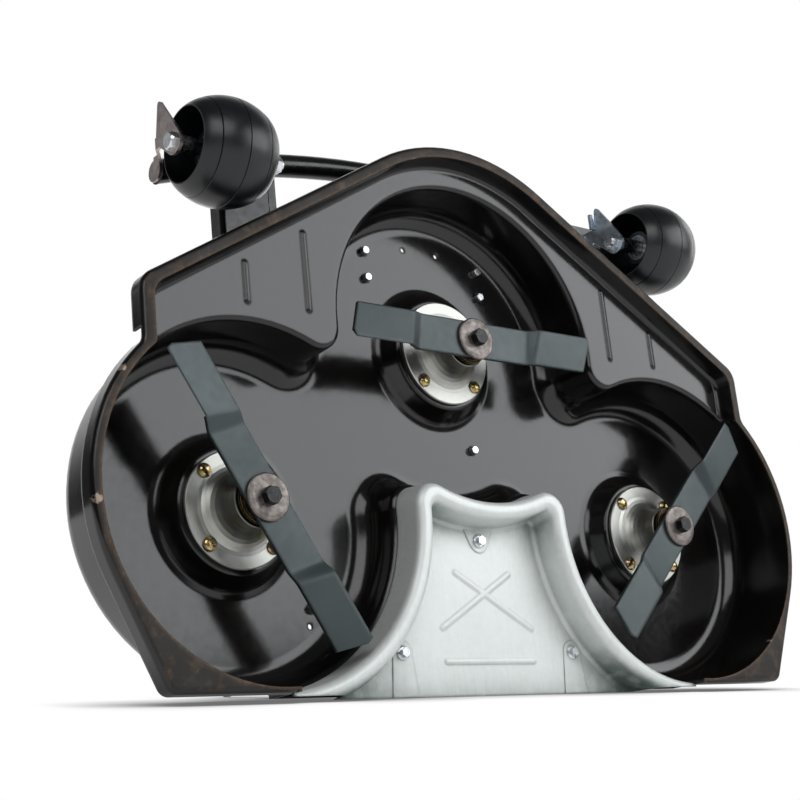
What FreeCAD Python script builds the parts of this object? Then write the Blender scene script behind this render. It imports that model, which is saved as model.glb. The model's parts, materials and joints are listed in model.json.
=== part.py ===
import FreeCAD, Part
import math
import os

V = FreeCAD.Vector

# Three-blade mowing deck, seen from its cutting side.
# All sizes are in millimetres. While it is built, X runs across the deck, Z points to the
# deck's front and Y points from the ground side to the top side. The zero point is the centre
# spindle's axis in the plane of its housing flange. At the end everything is leaned back and
# set down on its rear edge, as the deck stands for service.

# Layout of the three spindles
SPINDLE_DX = 324.0
SPINDLE_DZ = 220.0
PITCH = math.hypot(SPINDLE_DX, SPINDLE_DZ)
BLADE_GAP = 7.63
BLADE_LENGTH = PITCH - BLADE_GAP

# Levels of the pressed shell, measured on its ground side
SHEET = 3.0
RIM_Y = -74.0
SHELF_Y = -51.0
PLATFORM_Y = -18.5
CEILING_Y = 31.0
TOP_Y = CEILING_Y + SHEET

# Blade chambers
CHAMBER_GAP = 11.0
CHAMBER_DRAFT = 6.0
CHAMBER_RIM_R = BLADE_LENGTH / 2.0 + CHAMBER_GAP
CHAMBER_TOP_R = CHAMBER_RIM_R - CHAMBER_DRAFT
CUSP_RIM = 28.0
CUSP_TOP = 34.0
CEILING_FILLET = 30.0
SHELF_FILLET = 7.0
PLATFORM_FILLET = 8.0
TUNNEL_INSET = 14.0
TUNNEL_X = SPINDLE_DX - TUNNEL_INSET

# Rim outline
RIM_BAND = 11.0
RIM_RADIUS = CHAMBER_RIM_R + RIM_BAND
FRONT_BAND = 47.0
FRONT_RADIUS = CHAMBER_RIM_R + FRONT_BAND
FRONT_SLOPE = 31.2
SIDE_OFFSET = 148.0
SIDE_X = SPINDLE_DX + SIDE_OFFSET
SIDE_CORNER = 28.0
SIDE_BLEND = 15.0
REAR_SLANT = 25.5
REAR_CORNER = 14.0
REAR_BAND = 5.0
REAR_Z = -SPINDLE_DZ - CHAMBER_RIM_R - REAR_BAND
LIP_DEPTH = 24.0
RIM_FOLD = 6.5
FLANGE_FRONT = 15.0
SHELF_DRAFT = 6.0
POCKET_CORNER = 24.0
POCKET_FOOT = 6.0
NOTCH_Z1 = -68.0
NOTCH_Z2 = -50.0

# Half-round beads on the shelf: distance from the middle, rear end, front end
BEADS = [(244.0, 6.0, 100.0), (327.0, 5.0, 50.0)]
BEAD_R = 5.0
BEAD_PROUD = 2.6

# Ceiling holes: a pair on each side of the front, and others on one side only
PAIR_HOLES = [(93.0, 134.0), (93.0, 98.0)]
SINGLE_HOLES = [(53.0, -116.0), (-217.0, -323.0)]
SMALL_HOLES = [(-27.5, 147.0), (27.5, 147.0), (-220.0, -343.0)]
SMALL_HOLE_R = 3.2
CEILING_BOLT_R = 5.2
CEILING_BOLT_GAP = 0.3
CEILING_BOLT_AF = 16.0
CEILING_BOLT_HEAD = 7.0
CEILING_BOLT_TAIL = 7.5
CEILING_BOLT_CHAMFER = 0.8
PAIR_HOLE_R = CEILING_BOLT_R + CEILING_BOLT_GAP

# Spindle housing with its bolts
FLANGE_R = 67.3
FLANGE_T = 6.0
BELL_R = 53.0
NOSE_R = 30.0
NOSE_Y = -39.0
BEARING_R = 26.0
BEARING_W = 15.0
BOSS_WALL = 9.0
BOSS_R = BEARING_R + BOSS_WALL
BOSS_Y = 44.0
BOSS_GAP = 1.0
BOLT_INSET = 9.3
BOLT_CIRCLE_R = FLANGE_R - BOLT_INSET
FASTENER_R = 4.0
FASTENER_GAP = 0.2
HEAD_R = 8.6
HEAD_H = 5.2
SPOT_GAP = 1.4
HOUSING_NUT_AF = 13.0
HOUSING_NUT_H = 7.0
BOLT_END = 3.0

# Raised pad of the shell under each housing
PAD_Y = FLANGE_T
PAD_GAP = 6.7
PAD_R = FLANGE_R + PAD_GAP
PAD_SLOPE_W = 12.0
PAD_FLARE_W = 11.0
PAD_FOOT_R = PAD_R + PAD_SLOPE_W
PAD_FLARE_R = PAD_FOOT_R + PAD_FLARE_W

# Shaft and what it carries
SHAFT_R = 12.5
RUN_GAP = 0.05
SIDE_GAP = 0.4
SEAT_STEP = 2.5
SHOULDER_W = 3.0
LOWER_BEARING_Y = NOSE_Y + SEAT_STEP
UPPER_BEARING_Y = BOSS_Y - 2.0 - BEARING_W
COLLAR_R = BEARING_R + 1.5
COLLAR_GAP = 1.5
COLLAR_TOP_Y = NOSE_Y - COLLAR_GAP
COLLAR_H = 10.5
COLLAR_GROOVE = 2.5
BLADE_T = 5.0
BLADE_TOP_Y = COLLAR_TOP_Y - COLLAR_H
BLADE_Y = BLADE_TOP_Y - BLADE_T
BLADE_W = 46.0
BLADE_DROP = 10.0
BLADE_TWIST = 5.0
BEND_LEAD_1 = 88.0
BEND_TRAIL_1 = 78.0
BEND_LEAD_2 = 110.0
BEND_TRAIL_2 = 98.0
BEND_STEPS = 6
BLADE_ANGLES = {"left": 121.0, "centre": 0.0, "right": 45.0}
WASHER_R = 26.8
WASHER_T = 5.0
BLADE_BOLT_R = 6.0
BLADE_BOLT_GAP = 0.3
BLADE_BOLT_HEAD = 10.0
BLADE_BOLT_AF = 18.0

# Carrier's arms and cross member
ARM_X = 250.0
ARM_W = 40.0
ARM_H = 25.0
ARM_WALL = 3.0
ARM_CORNER = 4.0
ARM_FRONT_Z = 222.0
ARM_REAR_Z = -400.0
CROSS_H = 25.0
CROSS_Z1 = -385.0
CROSS_Z2 = -345.0

# Belt drive on the top side
PULLEY_LIFT = 7.0
PULLEY_R = 58.0
PULLEY_W = 20.0
PULLEY_Y = TOP_Y + ARM_H + PULLEY_LIFT
BELT_DEPTH = 4.0
BELT_PITCH_R = PULLEY_R - BELT_DEPTH
BELT_Y = PULLEY_Y + PULLEY_W / 2.0
BELT_OUT = 2.8
BELT_IN = 4.8
BELT_W_OUT = 13.4
BELT_W_IN = 8.6
DRIVE_R = 50.0
DRIVE_W = 18.0
THREAD_R = 8.0
END_NUT_H = 10.0
END_NUT_AF = 24.0
END_WASHER_T = 2.5
END_WASHER_R = 17.0
IDLER_R = 26.0
IDLER_X = 122.0
IDLER_PRESS = 7.0
IDLER_GAP = 0.3
BRACKET_T = 5.0
STUD_R = 6.0

# Mulch plug
PLUG_GAP = 2.0
PLUG_R = CHAMBER_RIM_R + PLUG_GAP
PLUG_CUSP = 28.0
PLUG_CREST_Y = -60.0
PLUG_CREST_W = 22.0
PLUG_CREST_R = 9.2
PLUG_LEAN_OUT = 1.5
PLUG_LEAN_IN = 1.0
PLUG_TRAY_DRAFT = 5.0
PLUG_TRAY_CUSP = 9.0
PLUG_FOOT = 5.0
PLUG_SHEET = 2.0
PLUG_OVERHANG = 3.0
PLUG_REAR_Z = REAR_Z - PLUG_OVERHANG
PLUG_X = TUNNEL_X
PLUG_BOLTS = [(0.0, -247.0), (-133.0, -381.0), (133.0, -381.0)]
PLUG_BOLT_R = 4.0
PLUG_HEAD_AF = 10.0
PLUG_HEAD_H = 6.2
FAN_RISE = 1.0
FAN_SEAT_R = 14.0
PLUG_CROSS = [((-42, -286), (70, -352)), ((42, -286), (-70, -352))]
PLUG_BAR = ((-68, -391), (68, -391))
PLUG_BEAD_R = 6.0
PLUG_BEAD_PROUD = 1.8

# Front bow and posts
BOW_R = 14.5
BOW_WALL = 2.5
CAP_INSET = 1.5
BOW_Z = 245.0
BOW_END_X = 386.0
BOW_DROP = 62.0
POST_Y = 10.0
POST_T = 4.0
POST_Z1 = 40.0
POST_Z2 = 228.0
POST_CORNER = 6.0
BOW_Y = POST_Y + POST_T + BOW_R

# Coupling plates
PLATE_T = 6.0
HITCH_Y = 112.0
HITCH_Z = -345.0
HITCH_R = 8.0
HITCH_LOBE = 27.0
BUSH_R = 14.0
BUSH_L = 18.0
PROP_Y = 132.0
FOOT_R = 14.0

# Support wheels
WHEEL_X = 349.7
WHEEL_Y = -54.0
WHEEL_Z = 179.0
WHEEL_R = 64.0
WHEEL_W = 97.5
WHEEL_CROWN = 75.0
WHEEL_MOUTH_R = 44.9
WHEEL_BULGE = 0.9
WHEEL_LIP = 1.5
WHEEL_WEB = 10.0
WHEEL_WALL = 4.0
WHEEL_GROOVE_X = 32.0
WHEEL_GROOVE_W = 0.7
WHEEL_GROOVE_D = 1.0
WHEEL_BEARING_R = 17.5
WHEEL_BEARING_W = 11.0
HUB_WALL = 5.5
HUB_R = WHEEL_BEARING_R + HUB_WALL
HUB_W = 44.0
AXLE_R = 7.5
SLEEVE_WALL = 2.5
SLEEVE_R = AXLE_R + SLEEVE_WALL
AXLE_HEAD_AF = 19.0
AXLE_HEAD = 8.0
AXLE_NUT = 10.0

# Yokes that hold the wheels
YOKE_T = 4.0
YOKE_OUT_GAP = 9.5
YOKE_IN_GAP = 14.0
YOKE_OUT_X = WHEEL_X + WHEEL_W / 2.0 + YOKE_OUT_GAP
YOKE_IN_X = WHEEL_X - WHEEL_W / 2.0 - YOKE_IN_GAP
YOKE_EYE_R = 15.0
YOKE_CORNER_R = 1.5
SPIKE_R = 3.5
SPIKE_BACK = 11.5
SPIKE_RISE = 58.0
SPIKE_Z = WHEEL_Z + SPIKE_RISE
YOKE_BACK_Y = -16.0
SPIKE_Y = YOKE_BACK_Y - SPIKE_BACK
YOKE_HEEL = 13.0
YOKE_HEEL_Z = WHEEL_Z + YOKE_HEEL
BOW_END_Z = BOW_Z - BOW_DROP
TAIL_Z1 = BOW_END_Z + 3.0
TAIL_Z2 = BOW_END_Z + 17.0
TAIL_EYE_GAP = 26.0
YOKE_FOOT = 9.0
YOKE_LIP = 5.0
LIP_FROM_TIP = 3.0
BACK_OVER_TAIL = 12.0
POST_IN = 55.0
POST_OUT = 27.0
POST_SEAM = 1.2
POST_SEAM_D = 0.8
POST_SEAM_IN = 14.0
POST_X1 = YOKE_IN_X - POST_IN
POST_X2 = YOKE_IN_X + POST_OUT

# The deck leans back a little while it stands on its rear edge
LEAN = 9.0

RIGHT = V(SPINDLE_DX, 0, -SPINDLE_DZ)
LEFT = V(-SPINDLE_DX, 0, -SPINDLE_DZ)
CENTRE = V(0, 0, 0)
SPINDLES = {"left": LEFT, "centre": CENTRE, "right": RIGHT}


# General helpers

def flat(x, z, y=0.0):
    return V(x, y, z)


def unit(v):
    w = V(v)
    w.normalize()
    return w


def arc_mid(centre, a, b):
    # middle of the short arc from a to b around a centre
    r = (a - centre).Length
    return centre + unit(unit(a - centre) + unit(b - centre)) * r


def chain(y, start, steps):
    # closed wire at height y: each step is a point, or a pair of points for an arc
    edges = []
    here = start
    for step in list(steps):
        if isinstance(step, tuple):
            mid, end = step
            a = V(here.x, y, here.z)
            m = V(mid.x, y, mid.z)
            b = V(end.x, y, end.z)
            edges.append(Part.Arc(a, m, b).toShape())
            here = end
        elif (step - here).Length > 1e-6:
            a = V(here.x, y, here.z)
            b = V(step.x, y, step.z)
            edges.append(Part.makeLine(a, b))
            here = step
    return Part.Wire(edges)


def mirrored(start, steps):
    # adds the mirrored left half, walked backwards, to a right half that ends on the middle
    pts = [start]
    for step in steps:
        pts.append(step[1] if isinstance(step, tuple) else step)
    left = []
    for i in range(len(steps) - 1, -1, -1):
        end = V(-pts[i].x, 0, pts[i].z)
        if isinstance(steps[i], tuple):
            mid = steps[i][0]
            left.append((V(-mid.x, 0, mid.z), end))
        else:
            left.append(end)
    return list(steps) + left


def prism(wire, height):
    return Part.Face(wire).extrude(V(0, height, 0))


def loft(low, high):
    return Part.makeLoft([low, high], True, True)


def disc(centre, r, y, h):
    return Part.makeCylinder(r, h, V(centre.x, y, centre.z), V(0, 1, 0))


def box(x1, x2, y1, y2, z1, z2):
    return Part.makeBox(x2 - x1, y2 - y1, z2 - z1, V(x1, y1, z1))


def turned(points, centre=CENTRE):
    # solid of revolution around a spindle axis from (radius, y) points
    pts = [V(r, y, 0) for r, y in points]
    face = Part.Face(Part.makePolygon(pts + [pts[0]]))
    solid = face.revolve(V(0, 0, 0), V(0, 1, 0), 360)
    solid.translate(V(centre.x, 0, centre.z))
    return solid


def hexagon(across, length, base, axis):
    # hexagonal prism from a base point along an axis
    r = across / math.sqrt(3.0)
    pts = []
    for i in range(7):
        a = math.radians(60 * i + 30)
        pts.append(V(r * math.cos(a), r * math.sin(a), 0))
    solid = Part.Face(Part.makePolygon(pts)).extrude(V(0, 0, length))
    solid.rotate(V(0, 0, 0), *turn_to(axis))
    solid.translate(base)
    return solid


def turn_to(axis):
    # axis and angle that turn +Z onto a direction
    rot = FreeCAD.Rotation(V(0, 0, 1), axis)
    return rot.Axis, math.degrees(rot.Angle)


def fuse(parts):
    out = parts[0]
    if len(parts) > 1:
        out = out.multiFuse(parts[1:])
    return out.removeSplitter()


def edges_at(shape, y, keep=None):
    # edges that lie in one level, and meet a further condition if given
    out = []
    for e in shape.Edges:
        bb = e.BoundBox
        if abs(bb.YMin - y) < 0.02 and abs(bb.YMax - y) < 0.02:
            if keep is None or keep(e):
                out.append(e)
    return out


def both_sides(shape):
    return [shape, shape.mirror(V(0, 0, 0), V(1, 0, 0))]


# Outlines of the shell

def rim_outline(y, inset=0.0):
    phi = math.radians(FRONT_SLOPE)
    fr = FRONT_RADIUS - inset
    sx = SIDE_X - inset
    rc = SIDE_CORNER - inset
    rb = SIDE_BLEND + inset
    rr = RIM_RADIUS - inset
    rd = REAR_CORNER - inset
    rear = REAR_Z + inset
    top = flat(0, fr)
    a0 = flat(fr * math.sin(phi), fr * math.cos(phi))
    am = flat(fr * math.sin(phi / 2), fr * math.cos(phi / 2))
    zk = a0.z - (sx - a0.x) * math.tan(phi)
    half = (math.pi / 2 - phi) / 2
    t = rc * math.tan(half)
    c1 = flat(sx - rc, zk - t)
    p1 = flat(sx - t * math.cos(phi), zk + t * math.sin(phi))
    p2 = flat(sx, zk - t)
    cb_z = -SPINDLE_DZ + math.sqrt((rr + rb) ** 2 - (sx + rb - SPINDLE_DX) ** 2)
    cb = flat(sx + rb, cb_z)
    p3 = flat(sx, cb_z)
    p4 = RIGHT + unit(cb - RIGHT) * rr
    a = math.radians(REAR_SLANT)
    p5 = RIGHT + flat(math.cos(a), -math.sin(a)) * rr
    pm = RIGHT + unit(unit(p4 - RIGHT) + unit(p5 - RIGHT)) * rr
    down = flat(-math.sin(a), -math.cos(a))
    pk = p5 + down * ((p5.z - rear) / math.cos(a))
    t2 = rd * math.tan((math.pi / 2 - a) / 2)
    p6 = pk - down * t2
    p7 = flat(pk.x - t2, rear)
    c2 = flat(p7.x, rear + rd)
    steps = [
        (am, a0), p1, (arc_mid(c1, p1, p2), p2), p3, (arc_mid(cb, p3, p4), p4),
        (pm, p5), p6, (arc_mid(c2, p6, p7), p7), flat(0, rear),
    ]
    return chain(y, top, mirrored(top, steps))


def pocket_outline(y, inset):
    # edge of the recessed front shelf
    phi = math.radians(FRONT_SLOPE)
    fr = FRONT_RADIUS - inset
    sx = SIDE_X - inset
    top = flat(0, fr)
    a0 = flat(fr * math.sin(phi), fr * math.cos(phi))
    am = flat(fr * math.sin(phi / 2), fr * math.cos(phi / 2))
    zk = a0.z - (sx - a0.x) * math.tan(phi)
    t = POCKET_CORNER * math.tan((math.pi / 2 - phi) / 2)
    c1 = flat(sx - POCKET_CORNER, zk - t)
    p1 = flat(sx - t * math.cos(phi), zk + t * math.sin(phi))
    p2 = flat(sx, zk - t)
    back = -0.68 * SPINDLE_DZ
    steps = [(am, a0), p1, (arc_mid(c1, p1, p2), p2), flat(sx, back), flat(0, back)]
    return chain(y, top, mirrored(top, steps))


def cusp_centre(r, blend, front):
    # centre of the small arc that joins the middle circle to the right circle
    u = unit(RIGHT)
    n = V(-u.z, 0, u.x)
    t = math.sqrt((r + blend) ** 2 - (PITCH / 2) ** 2)
    return RIGHT * 0.5 + n * (t if front else -t)


def chamber_outline(y, r, front_blend, rear_blend):
    # three overlapping circles with rounded cusps between them
    cf = cusp_centre(r, front_blend, True)
    cr = cusp_centre(r, rear_blend, False)
    top = flat(0, r)
    a1 = unit(cf) * r
    a2 = RIGHT + unit(cf - RIGHT) * r
    a3 = RIGHT + unit(cr - RIGHT) * r
    a4 = unit(cr) * r
    out = RIGHT + unit(RIGHT) * r
    m0 = arc_mid(CENTRE, top, a1)
    m4 = arc_mid(CENTRE, a4, flat(0, -r))
    steps = [
        (m0, a1), (arc_mid(cf, a1, a2), a2), (out, a3), (arc_mid(cr, a3, a4), a4),
        (m4, flat(0, -r)),
    ]
    return chain(y, top, mirrored(top, steps))


def chamber_r(y):
    k = (y - RIM_Y) / (CEILING_Y - RIM_Y)
    return CHAMBER_RIM_R + k * (CHAMBER_TOP_R - CHAMBER_RIM_R)


def cusp_r(y):
    k = (y - RIM_Y) / (CEILING_Y - RIM_Y)
    return CUSP_RIM + k * (CUSP_TOP - CUSP_RIM)


def pad_body(spindle, o):
    # raised round pad, o is the sheet thickness for its top side
    top = PAD_Y + o
    foot = CEILING_Y + o
    return turned([
        (0, top), (PAD_R - 4 - o, top), (PAD_R - 1.2 - o, top + 1.2), (PAD_R - o, top + 4),
        (PAD_FOOT_R - 1.5 - o, foot - 5), (PAD_FOOT_R + 2.5 - o, foot - 1.6),
        (PAD_FLARE_R - o, foot + 0.3), (PAD_FLARE_R - o, foot + 12), (0, foot + 12),
    ], spindle)


def form(o):
    # the space under the sheet (o = 0) or under its top side (o = sheet thickness)
    top = CEILING_Y + o
    low = chamber_outline(RIM_Y, CHAMBER_RIM_R + o, CUSP_RIM - o, CUSP_RIM - o)
    high = chamber_outline(top, chamber_r(top) + o, cusp_r(top) - o, cusp_r(top) - o)
    chambers = loft(low, high)
    chambers = chambers.makeFillet(CEILING_FILLET + o, edges_at(chambers, top))
    shelf = SHELF_Y + o
    k = (shelf - RIM_Y) / (SHELF_Y - RIM_Y)
    pocket = loft(pocket_outline(RIM_Y, FLANGE_FRONT - o),
                  pocket_outline(shelf, FLANGE_FRONT + k * SHELF_DRAFT - o))
    rim_edges = edges_at(pocket, shelf, lambda e: e.BoundBox.ZMax > -0.6 * SPINDLE_DZ)
    pocket = pocket.makeFillet(POCKET_FOOT + o, rim_edges)
    tx = TUNNEL_X + o
    tunnel = box(-tx, tx, RIM_Y, PLATFORM_Y + o, REAR_Z - 20, -0.7 * SPINDLE_DZ)
    body = chambers.multiFuse([pocket, tunnel]).removeSplitter()
    shelf_edges = edges_at(body, shelf, lambda e: e.BoundBox.ZMin > -0.5 * SPINDLE_DZ
                           and e.Length > 5 and near_chamber(e, shelf, o))
    body = body.makeFillet(SHELF_FILLET - o, shelf_edges)
    platform = PLATFORM_Y + o
    rear_edges = edges_at(body, platform, lambda e: near_chamber(e, platform, o))
    body = body.makeFillet(PLATFORM_FILLET - o, rear_edges)
    return body.cut(Part.makeCompound([pad_body(c, o) for c in SPINDLES.values()]))


def near_chamber(e, y, o):
    # true for an edge that runs along a chamber wall
    r = chamber_r(y) + o
    b = cusp_r(y) - o
    mid = e.valueAt((e.FirstParameter + e.LastParameter) / 2)
    p = V(mid.x, 0, mid.z)
    near = [abs((p - c).Length - r) < 1.5 for c in SPINDLES.values()]
    for front in (True, False):
        c = cusp_centre(r, b, front)
        for s in (1, -1):
            near.append(abs((p - V(s * c.x, 0, c.z)).Length - b) < 1.5)
    return any(near)


# Pressed shell

def bead_tool(x, z1, z2, r, depth):
    # half-round stiffening bead along Z
    body = [Part.makeCylinder(r, z2 - z1, V(x, depth, z1), V(0, 0, 1)),
            Part.makeSphere(r, V(x, depth, z1)), Part.makeSphere(r, V(x, depth, z2))]
    return fuse(body)


def hole(x, z, r):
    return Part.makeCylinder(r, 60, V(x, CEILING_Y - 20, z), V(0, 1, 0))


def make_shell():
    inner = form(0.0)
    outer = form(SHEET)
    keep = box(-2 * SIDE_X, 2 * SIDE_X, RIM_Y, TOP_Y + 20, REAR_Z, 2 * FRONT_RADIUS)
    rim = prism(rim_outline(RIM_Y), LIP_DEPTH)
    rim = rim.makeFillet(RIM_FOLD, edges_at(rim, RIM_Y))
    hollow = prism(rim_outline(RIM_Y + SHEET, SHEET), LIP_DEPTH)
    hollow = hollow.makeFillet(RIM_FOLD - SHEET, edges_at(hollow, RIM_Y + SHEET))
    rim = rim.cut(hollow)
    # the folded lip is open for a moment at each front corner, where the side arc starts
    for s in (1, -1):
        x1, x2 = sorted((s * (SIDE_X - 8), s * (SIDE_X + 30)))
        notch = box(x1, x2, RIM_Y + RIM_FOLD, RIM_Y + LIP_DEPTH + 1, NOTCH_Z1, NOTCH_Z2)
        rim = rim.cut(notch)
    shell = rim.fuse(outer.common(keep)).cut(inner)
    tools = []
    grooves = []
    for x, z1, z2 in BEADS:
        for s in (1, -1):
            tools.append(bead_tool(s * x, z1, z2, BEAD_R, SHELF_Y + BEAD_R - BEAD_PROUD))
            grooves.append(bead_tool(s * x, z1, z2, BEAD_R - SHEET,
                                     SHELF_Y + BEAD_R - BEAD_PROUD))
    half = box(-SIDE_X, SIDE_X, SHELF_Y - 2 * BEAD_R, SHELF_Y + SHEET, -100, FRONT_RADIUS)
    shell = shell.fuse(Part.makeCompound(tools).common(half)).cut(Part.makeCompound(grooves))
    cuts = []
    for x, z in PAIR_HOLES:
        cuts += [hole(x, z, PAIR_HOLE_R), hole(-x, z, PAIR_HOLE_R)]
    cuts += [hole(x, z, SMALL_HOLE_R) for x, z in SMALL_HOLES]
    cuts += [hole(x, z, PAIR_HOLE_R) for x, z in SINGLE_HOLES]
    for c in SPINDLES.values():
        cuts.append(disc(c, BOSS_R + BOSS_GAP, PAD_Y - SHEET, 3 * SHEET))
        for p in flange_points(c):
            cuts.append(disc(p, FASTENER_R + FASTENER_GAP, PAD_Y - SHEET, 3 * SHEET))
    for x, z in PLUG_BOLTS:
        cuts.append(disc(flat(x, z), PLUG_BOLT_R, PLATFORM_Y - SHEET, 3 * SHEET))
    shell = shell.cut(Part.makeCompound(cuts))
    return shell.removeSplitter()


def flange_points(c):
    d = BOLT_CIRCLE_R / math.sqrt(2.0)
    return [V(c.x + sx * d, 0, c.z + sz * d) for sx in (1, -1) for sz in (1, -1)]


# Mulch plug: a pressed pan with a rounded crest that closes the rear discharge


def plug_outline(y, r, blend):
    # region behind the three circles, left open past the rear edge
    c = cusp_centre(r, blend, False)
    side_low = RIGHT + V(0, 0, -r)
    a1 = RIGHT + unit(c - RIGHT) * r
    a2 = unit(c) * r
    far = SPINDLE_DX + 80
    rear = PLUG_REAR_Z - 60
    steps = [
        (arc_mid(CENTRE, flat(0, -r), a2), a2), (arc_mid(c, a2, a1), a1),
        (arc_mid(RIGHT, a1, side_low), side_low), flat(far, side_low.z), flat(far, rear),
        flat(0, rear),
    ]
    start = flat(0, -r)
    return chain(y, start, mirrored(start, steps))


def on_arcs(limit):
    # keeps the crest's own edges, away from the open rear
    return lambda e: e.BoundBox.ZMin > limit - 0.5 and e.Length > 1


def capsule(p, q, r, y, proud):
    # pressed bead between two points of a level face
    a = V(p[0], y + r - proud, p[1])
    b = V(q[0], y + r - proud, q[1])
    rod = Part.makeCylinder(r, (b - a).Length, a, b - a)
    return fuse([rod, Part.makeSphere(r, a), Part.makeSphere(r, b)])


def plug_body(o):
    # o = 0 gives the outer face of the pan, o = sheet thickness its hollow underside
    low = SPINDLE_DZ * -1 - PLUG_R
    crest = PLUG_CREST_Y + o
    floor = PLATFORM_Y
    body = loft(plug_outline(crest, PLUG_R + PLUG_LEAN_OUT + o, PLUG_CUSP - o),
                plug_outline(floor, PLUG_R - PLUG_LEAN_IN + o, PLUG_CUSP - o))
    inner_r = PLUG_R + PLUG_CREST_W - o
    tray_end = floor - PLUG_SHEET if o == 0 else floor + 1
    tray = loft(plug_outline(crest - 0.01, inner_r, PLUG_TRAY_CUSP + o),
                plug_outline(tray_end, inner_r + PLUG_TRAY_DRAFT, PLUG_TRAY_CUSP + o))
    if o == 0:
        tray = tray.makeFillet(PLUG_FOOT, edges_at(tray, tray_end, on_arcs(low - 12)))
    body = body.cut(tray)
    rounding = PLUG_CREST_R - o
    keep = edges_at(body, crest, on_arcs(low - PLUG_CREST_W - 1))
    return body.makeFillet(rounding, keep)


def make_plug():
    plug = plug_body(0.0).cut(plug_body(PLUG_SHEET))
    keep = box(-PLUG_X, PLUG_X, PLUG_CREST_Y - 5, PLATFORM_Y, PLUG_REAR_Z, 0)
    plug = plug.common(keep)
    face = PLATFORM_Y - PLUG_SHEET
    tools = [fuse([capsule(p, q, PLUG_BEAD_R, face, PLUG_BEAD_PROUD) for p, q in PLUG_CROSS]),
             capsule(*PLUG_BAR, PLUG_BEAD_R, face, PLUG_BEAD_PROUD)]
    # low fans pressed around the bolts
    for i, (x, z) in enumerate(PLUG_BOLTS):
        tools.append(fan(x, z, face, i))
    floor_box = box(-PLUG_X, PLUG_X, face - 5, face + 0.5, PLUG_REAR_Z, 0)
    plug = plug.fuse(Part.makeCompound(tools).common(floor_box))
    cuts = [disc(flat(x, z), PLUG_BOLT_R, face - 3 * PLUG_SHEET, 6 * PLUG_SHEET)
            for x, z in PLUG_BOLTS]
    return plug.cut(Part.makeCompound(cuts)).removeSplitter()


def fan(x, z, face, i):
    # wedge-shaped raised field, wide end away from the bolt
    h = FAN_RISE
    if i == 0:
        pts = [(x - 13, z - 6), (x + 13, z - 6), (x + 26, z + 22), (x - 26, z + 22)]
    else:
        pts = [(x - 13, z + 6), (x + 13, z + 6), (x + 19, PLUG_REAR_Z), (x - 19, PLUG_REAR_Z)]
    ring = [V(a, face - h, b) for a, b in pts]
    field = Part.Face(Part.makePolygon(ring + [ring[0]])).extrude(V(0, h + 0.2, 0))
    seat = Part.makeCylinder(FAN_SEAT_R, h + 0.2, V(x, face - h, z), V(0, 1, 0))
    return fuse([field, seat])


def make_plug_bolts():
    out = []
    face = PLATFORM_Y - PLUG_SHEET - FAN_RISE
    for x, z in PLUG_BOLTS:
        flange = turned([(0, face), (8.5, face), (8.5, face - 1.2), (6.2, face - 2.4),
                         (0, face - 2.4)], V(x, 0, z))
        head = hexagon(PLUG_HEAD_AF, PLUG_HEAD_H, V(x, face - 1.0, z), V(0, -1, 0))
        shank = Part.makeCylinder(PLUG_BOLT_R - 0.3, 20, V(x, face - 1, z), V(0, 1, 0))
        out.append(fuse([flange, head, shank]))
    return Part.makeCompound(out)


# Spindle assemblies

def make_housing(c):
    outer = [(0, FLANGE_T), (FLANGE_R - 1, FLANGE_T), (FLANGE_R, FLANGE_T - 1),
             (FLANGE_R, 1.2), (FLANGE_R - 1.2, 0), (BELL_R, 0)]
    # the bell flares from the nose into the flange
    steps = 8
    w = BELL_R - NOSE_R
    h = -NOSE_Y - 6.0
    for i in range(1, steps + 1):
        a = math.radians(90.0 * i / steps)
        outer.append((BELL_R - w * math.sin(a), -h * (1 - math.cos(a))))
    outer += [(NOSE_R, NOSE_Y + 1), (NOSE_R - 1, NOSE_Y), (0, NOSE_Y)]
    body = turned(outer, c)
    boss = disc(c, BOSS_R, FLANGE_T - 0.5, BOSS_Y - FLANGE_T + 0.5)
    body = fuse([body, boss])
    bores = [
        disc(c, BEARING_R, NOSE_Y - 1, LOWER_BEARING_Y + BEARING_W - NOSE_Y + 1),
        disc(c, BEARING_R, UPPER_BEARING_Y, BOSS_Y - UPPER_BEARING_Y + 1),
        disc(c, BEARING_R - 3.0, NOSE_Y - 1, BOSS_Y - NOSE_Y + 2),
    ]
    for p in flange_points(c):
        bores.append(disc(p, FASTENER_R + FASTENER_GAP, -10, 30))
        bores.append(disc(p, HEAD_R + SPOT_GAP, -12, 12.0))
    return body.cut(Part.makeCompound(bores)).removeSplitter()


def make_bearings(c):
    out = []
    for y in (LOWER_BEARING_Y, UPPER_BEARING_Y):
        ring = disc(c, BEARING_R, y, BEARING_W).cut(disc(c, SHAFT_R + RUN_GAP, y - 1, 40))
        for face_y, depth in ((y, 1.0), (y + BEARING_W - 1.0, 1.0)):
            groove = disc(c, BEARING_R - 3.5, face_y, depth)
            groove = groove.cut(disc(c, SHAFT_R + 3.0, face_y, depth))
            ring = ring.cut(groove)
        out.append(ring)
    return Part.makeCompound(out)


def stack_top(c):
    # upper face of the pulleys on a spindle
    return PULLEY_Y + PULLEY_W + (DRIVE_W if c is CENTRE else 0.0)


def make_shaft(c):
    bottom = BLADE_TOP_Y
    step = stack_top(c)
    end = step + END_WASHER_T + END_NUT_H + 3.0
    body = turned([
        (0, bottom), (SHAFT_R, bottom), (SHAFT_R, step), (THREAD_R, step),
        (THREAD_R, end - 1), (THREAD_R - 1, end), (0, end),
    ], c)
    # collar between the two bearings holds the shaft endwise
    shoulder = disc(c, SHAFT_R + SHOULDER_W, LOWER_BEARING_Y + BEARING_W + SIDE_GAP,
                    UPPER_BEARING_Y - LOWER_BEARING_Y - BEARING_W - 2 * SIDE_GAP)
    body = fuse([body, shoulder])
    return body.cut(disc(c, BLADE_BOLT_R, bottom - 1, 32))


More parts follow.
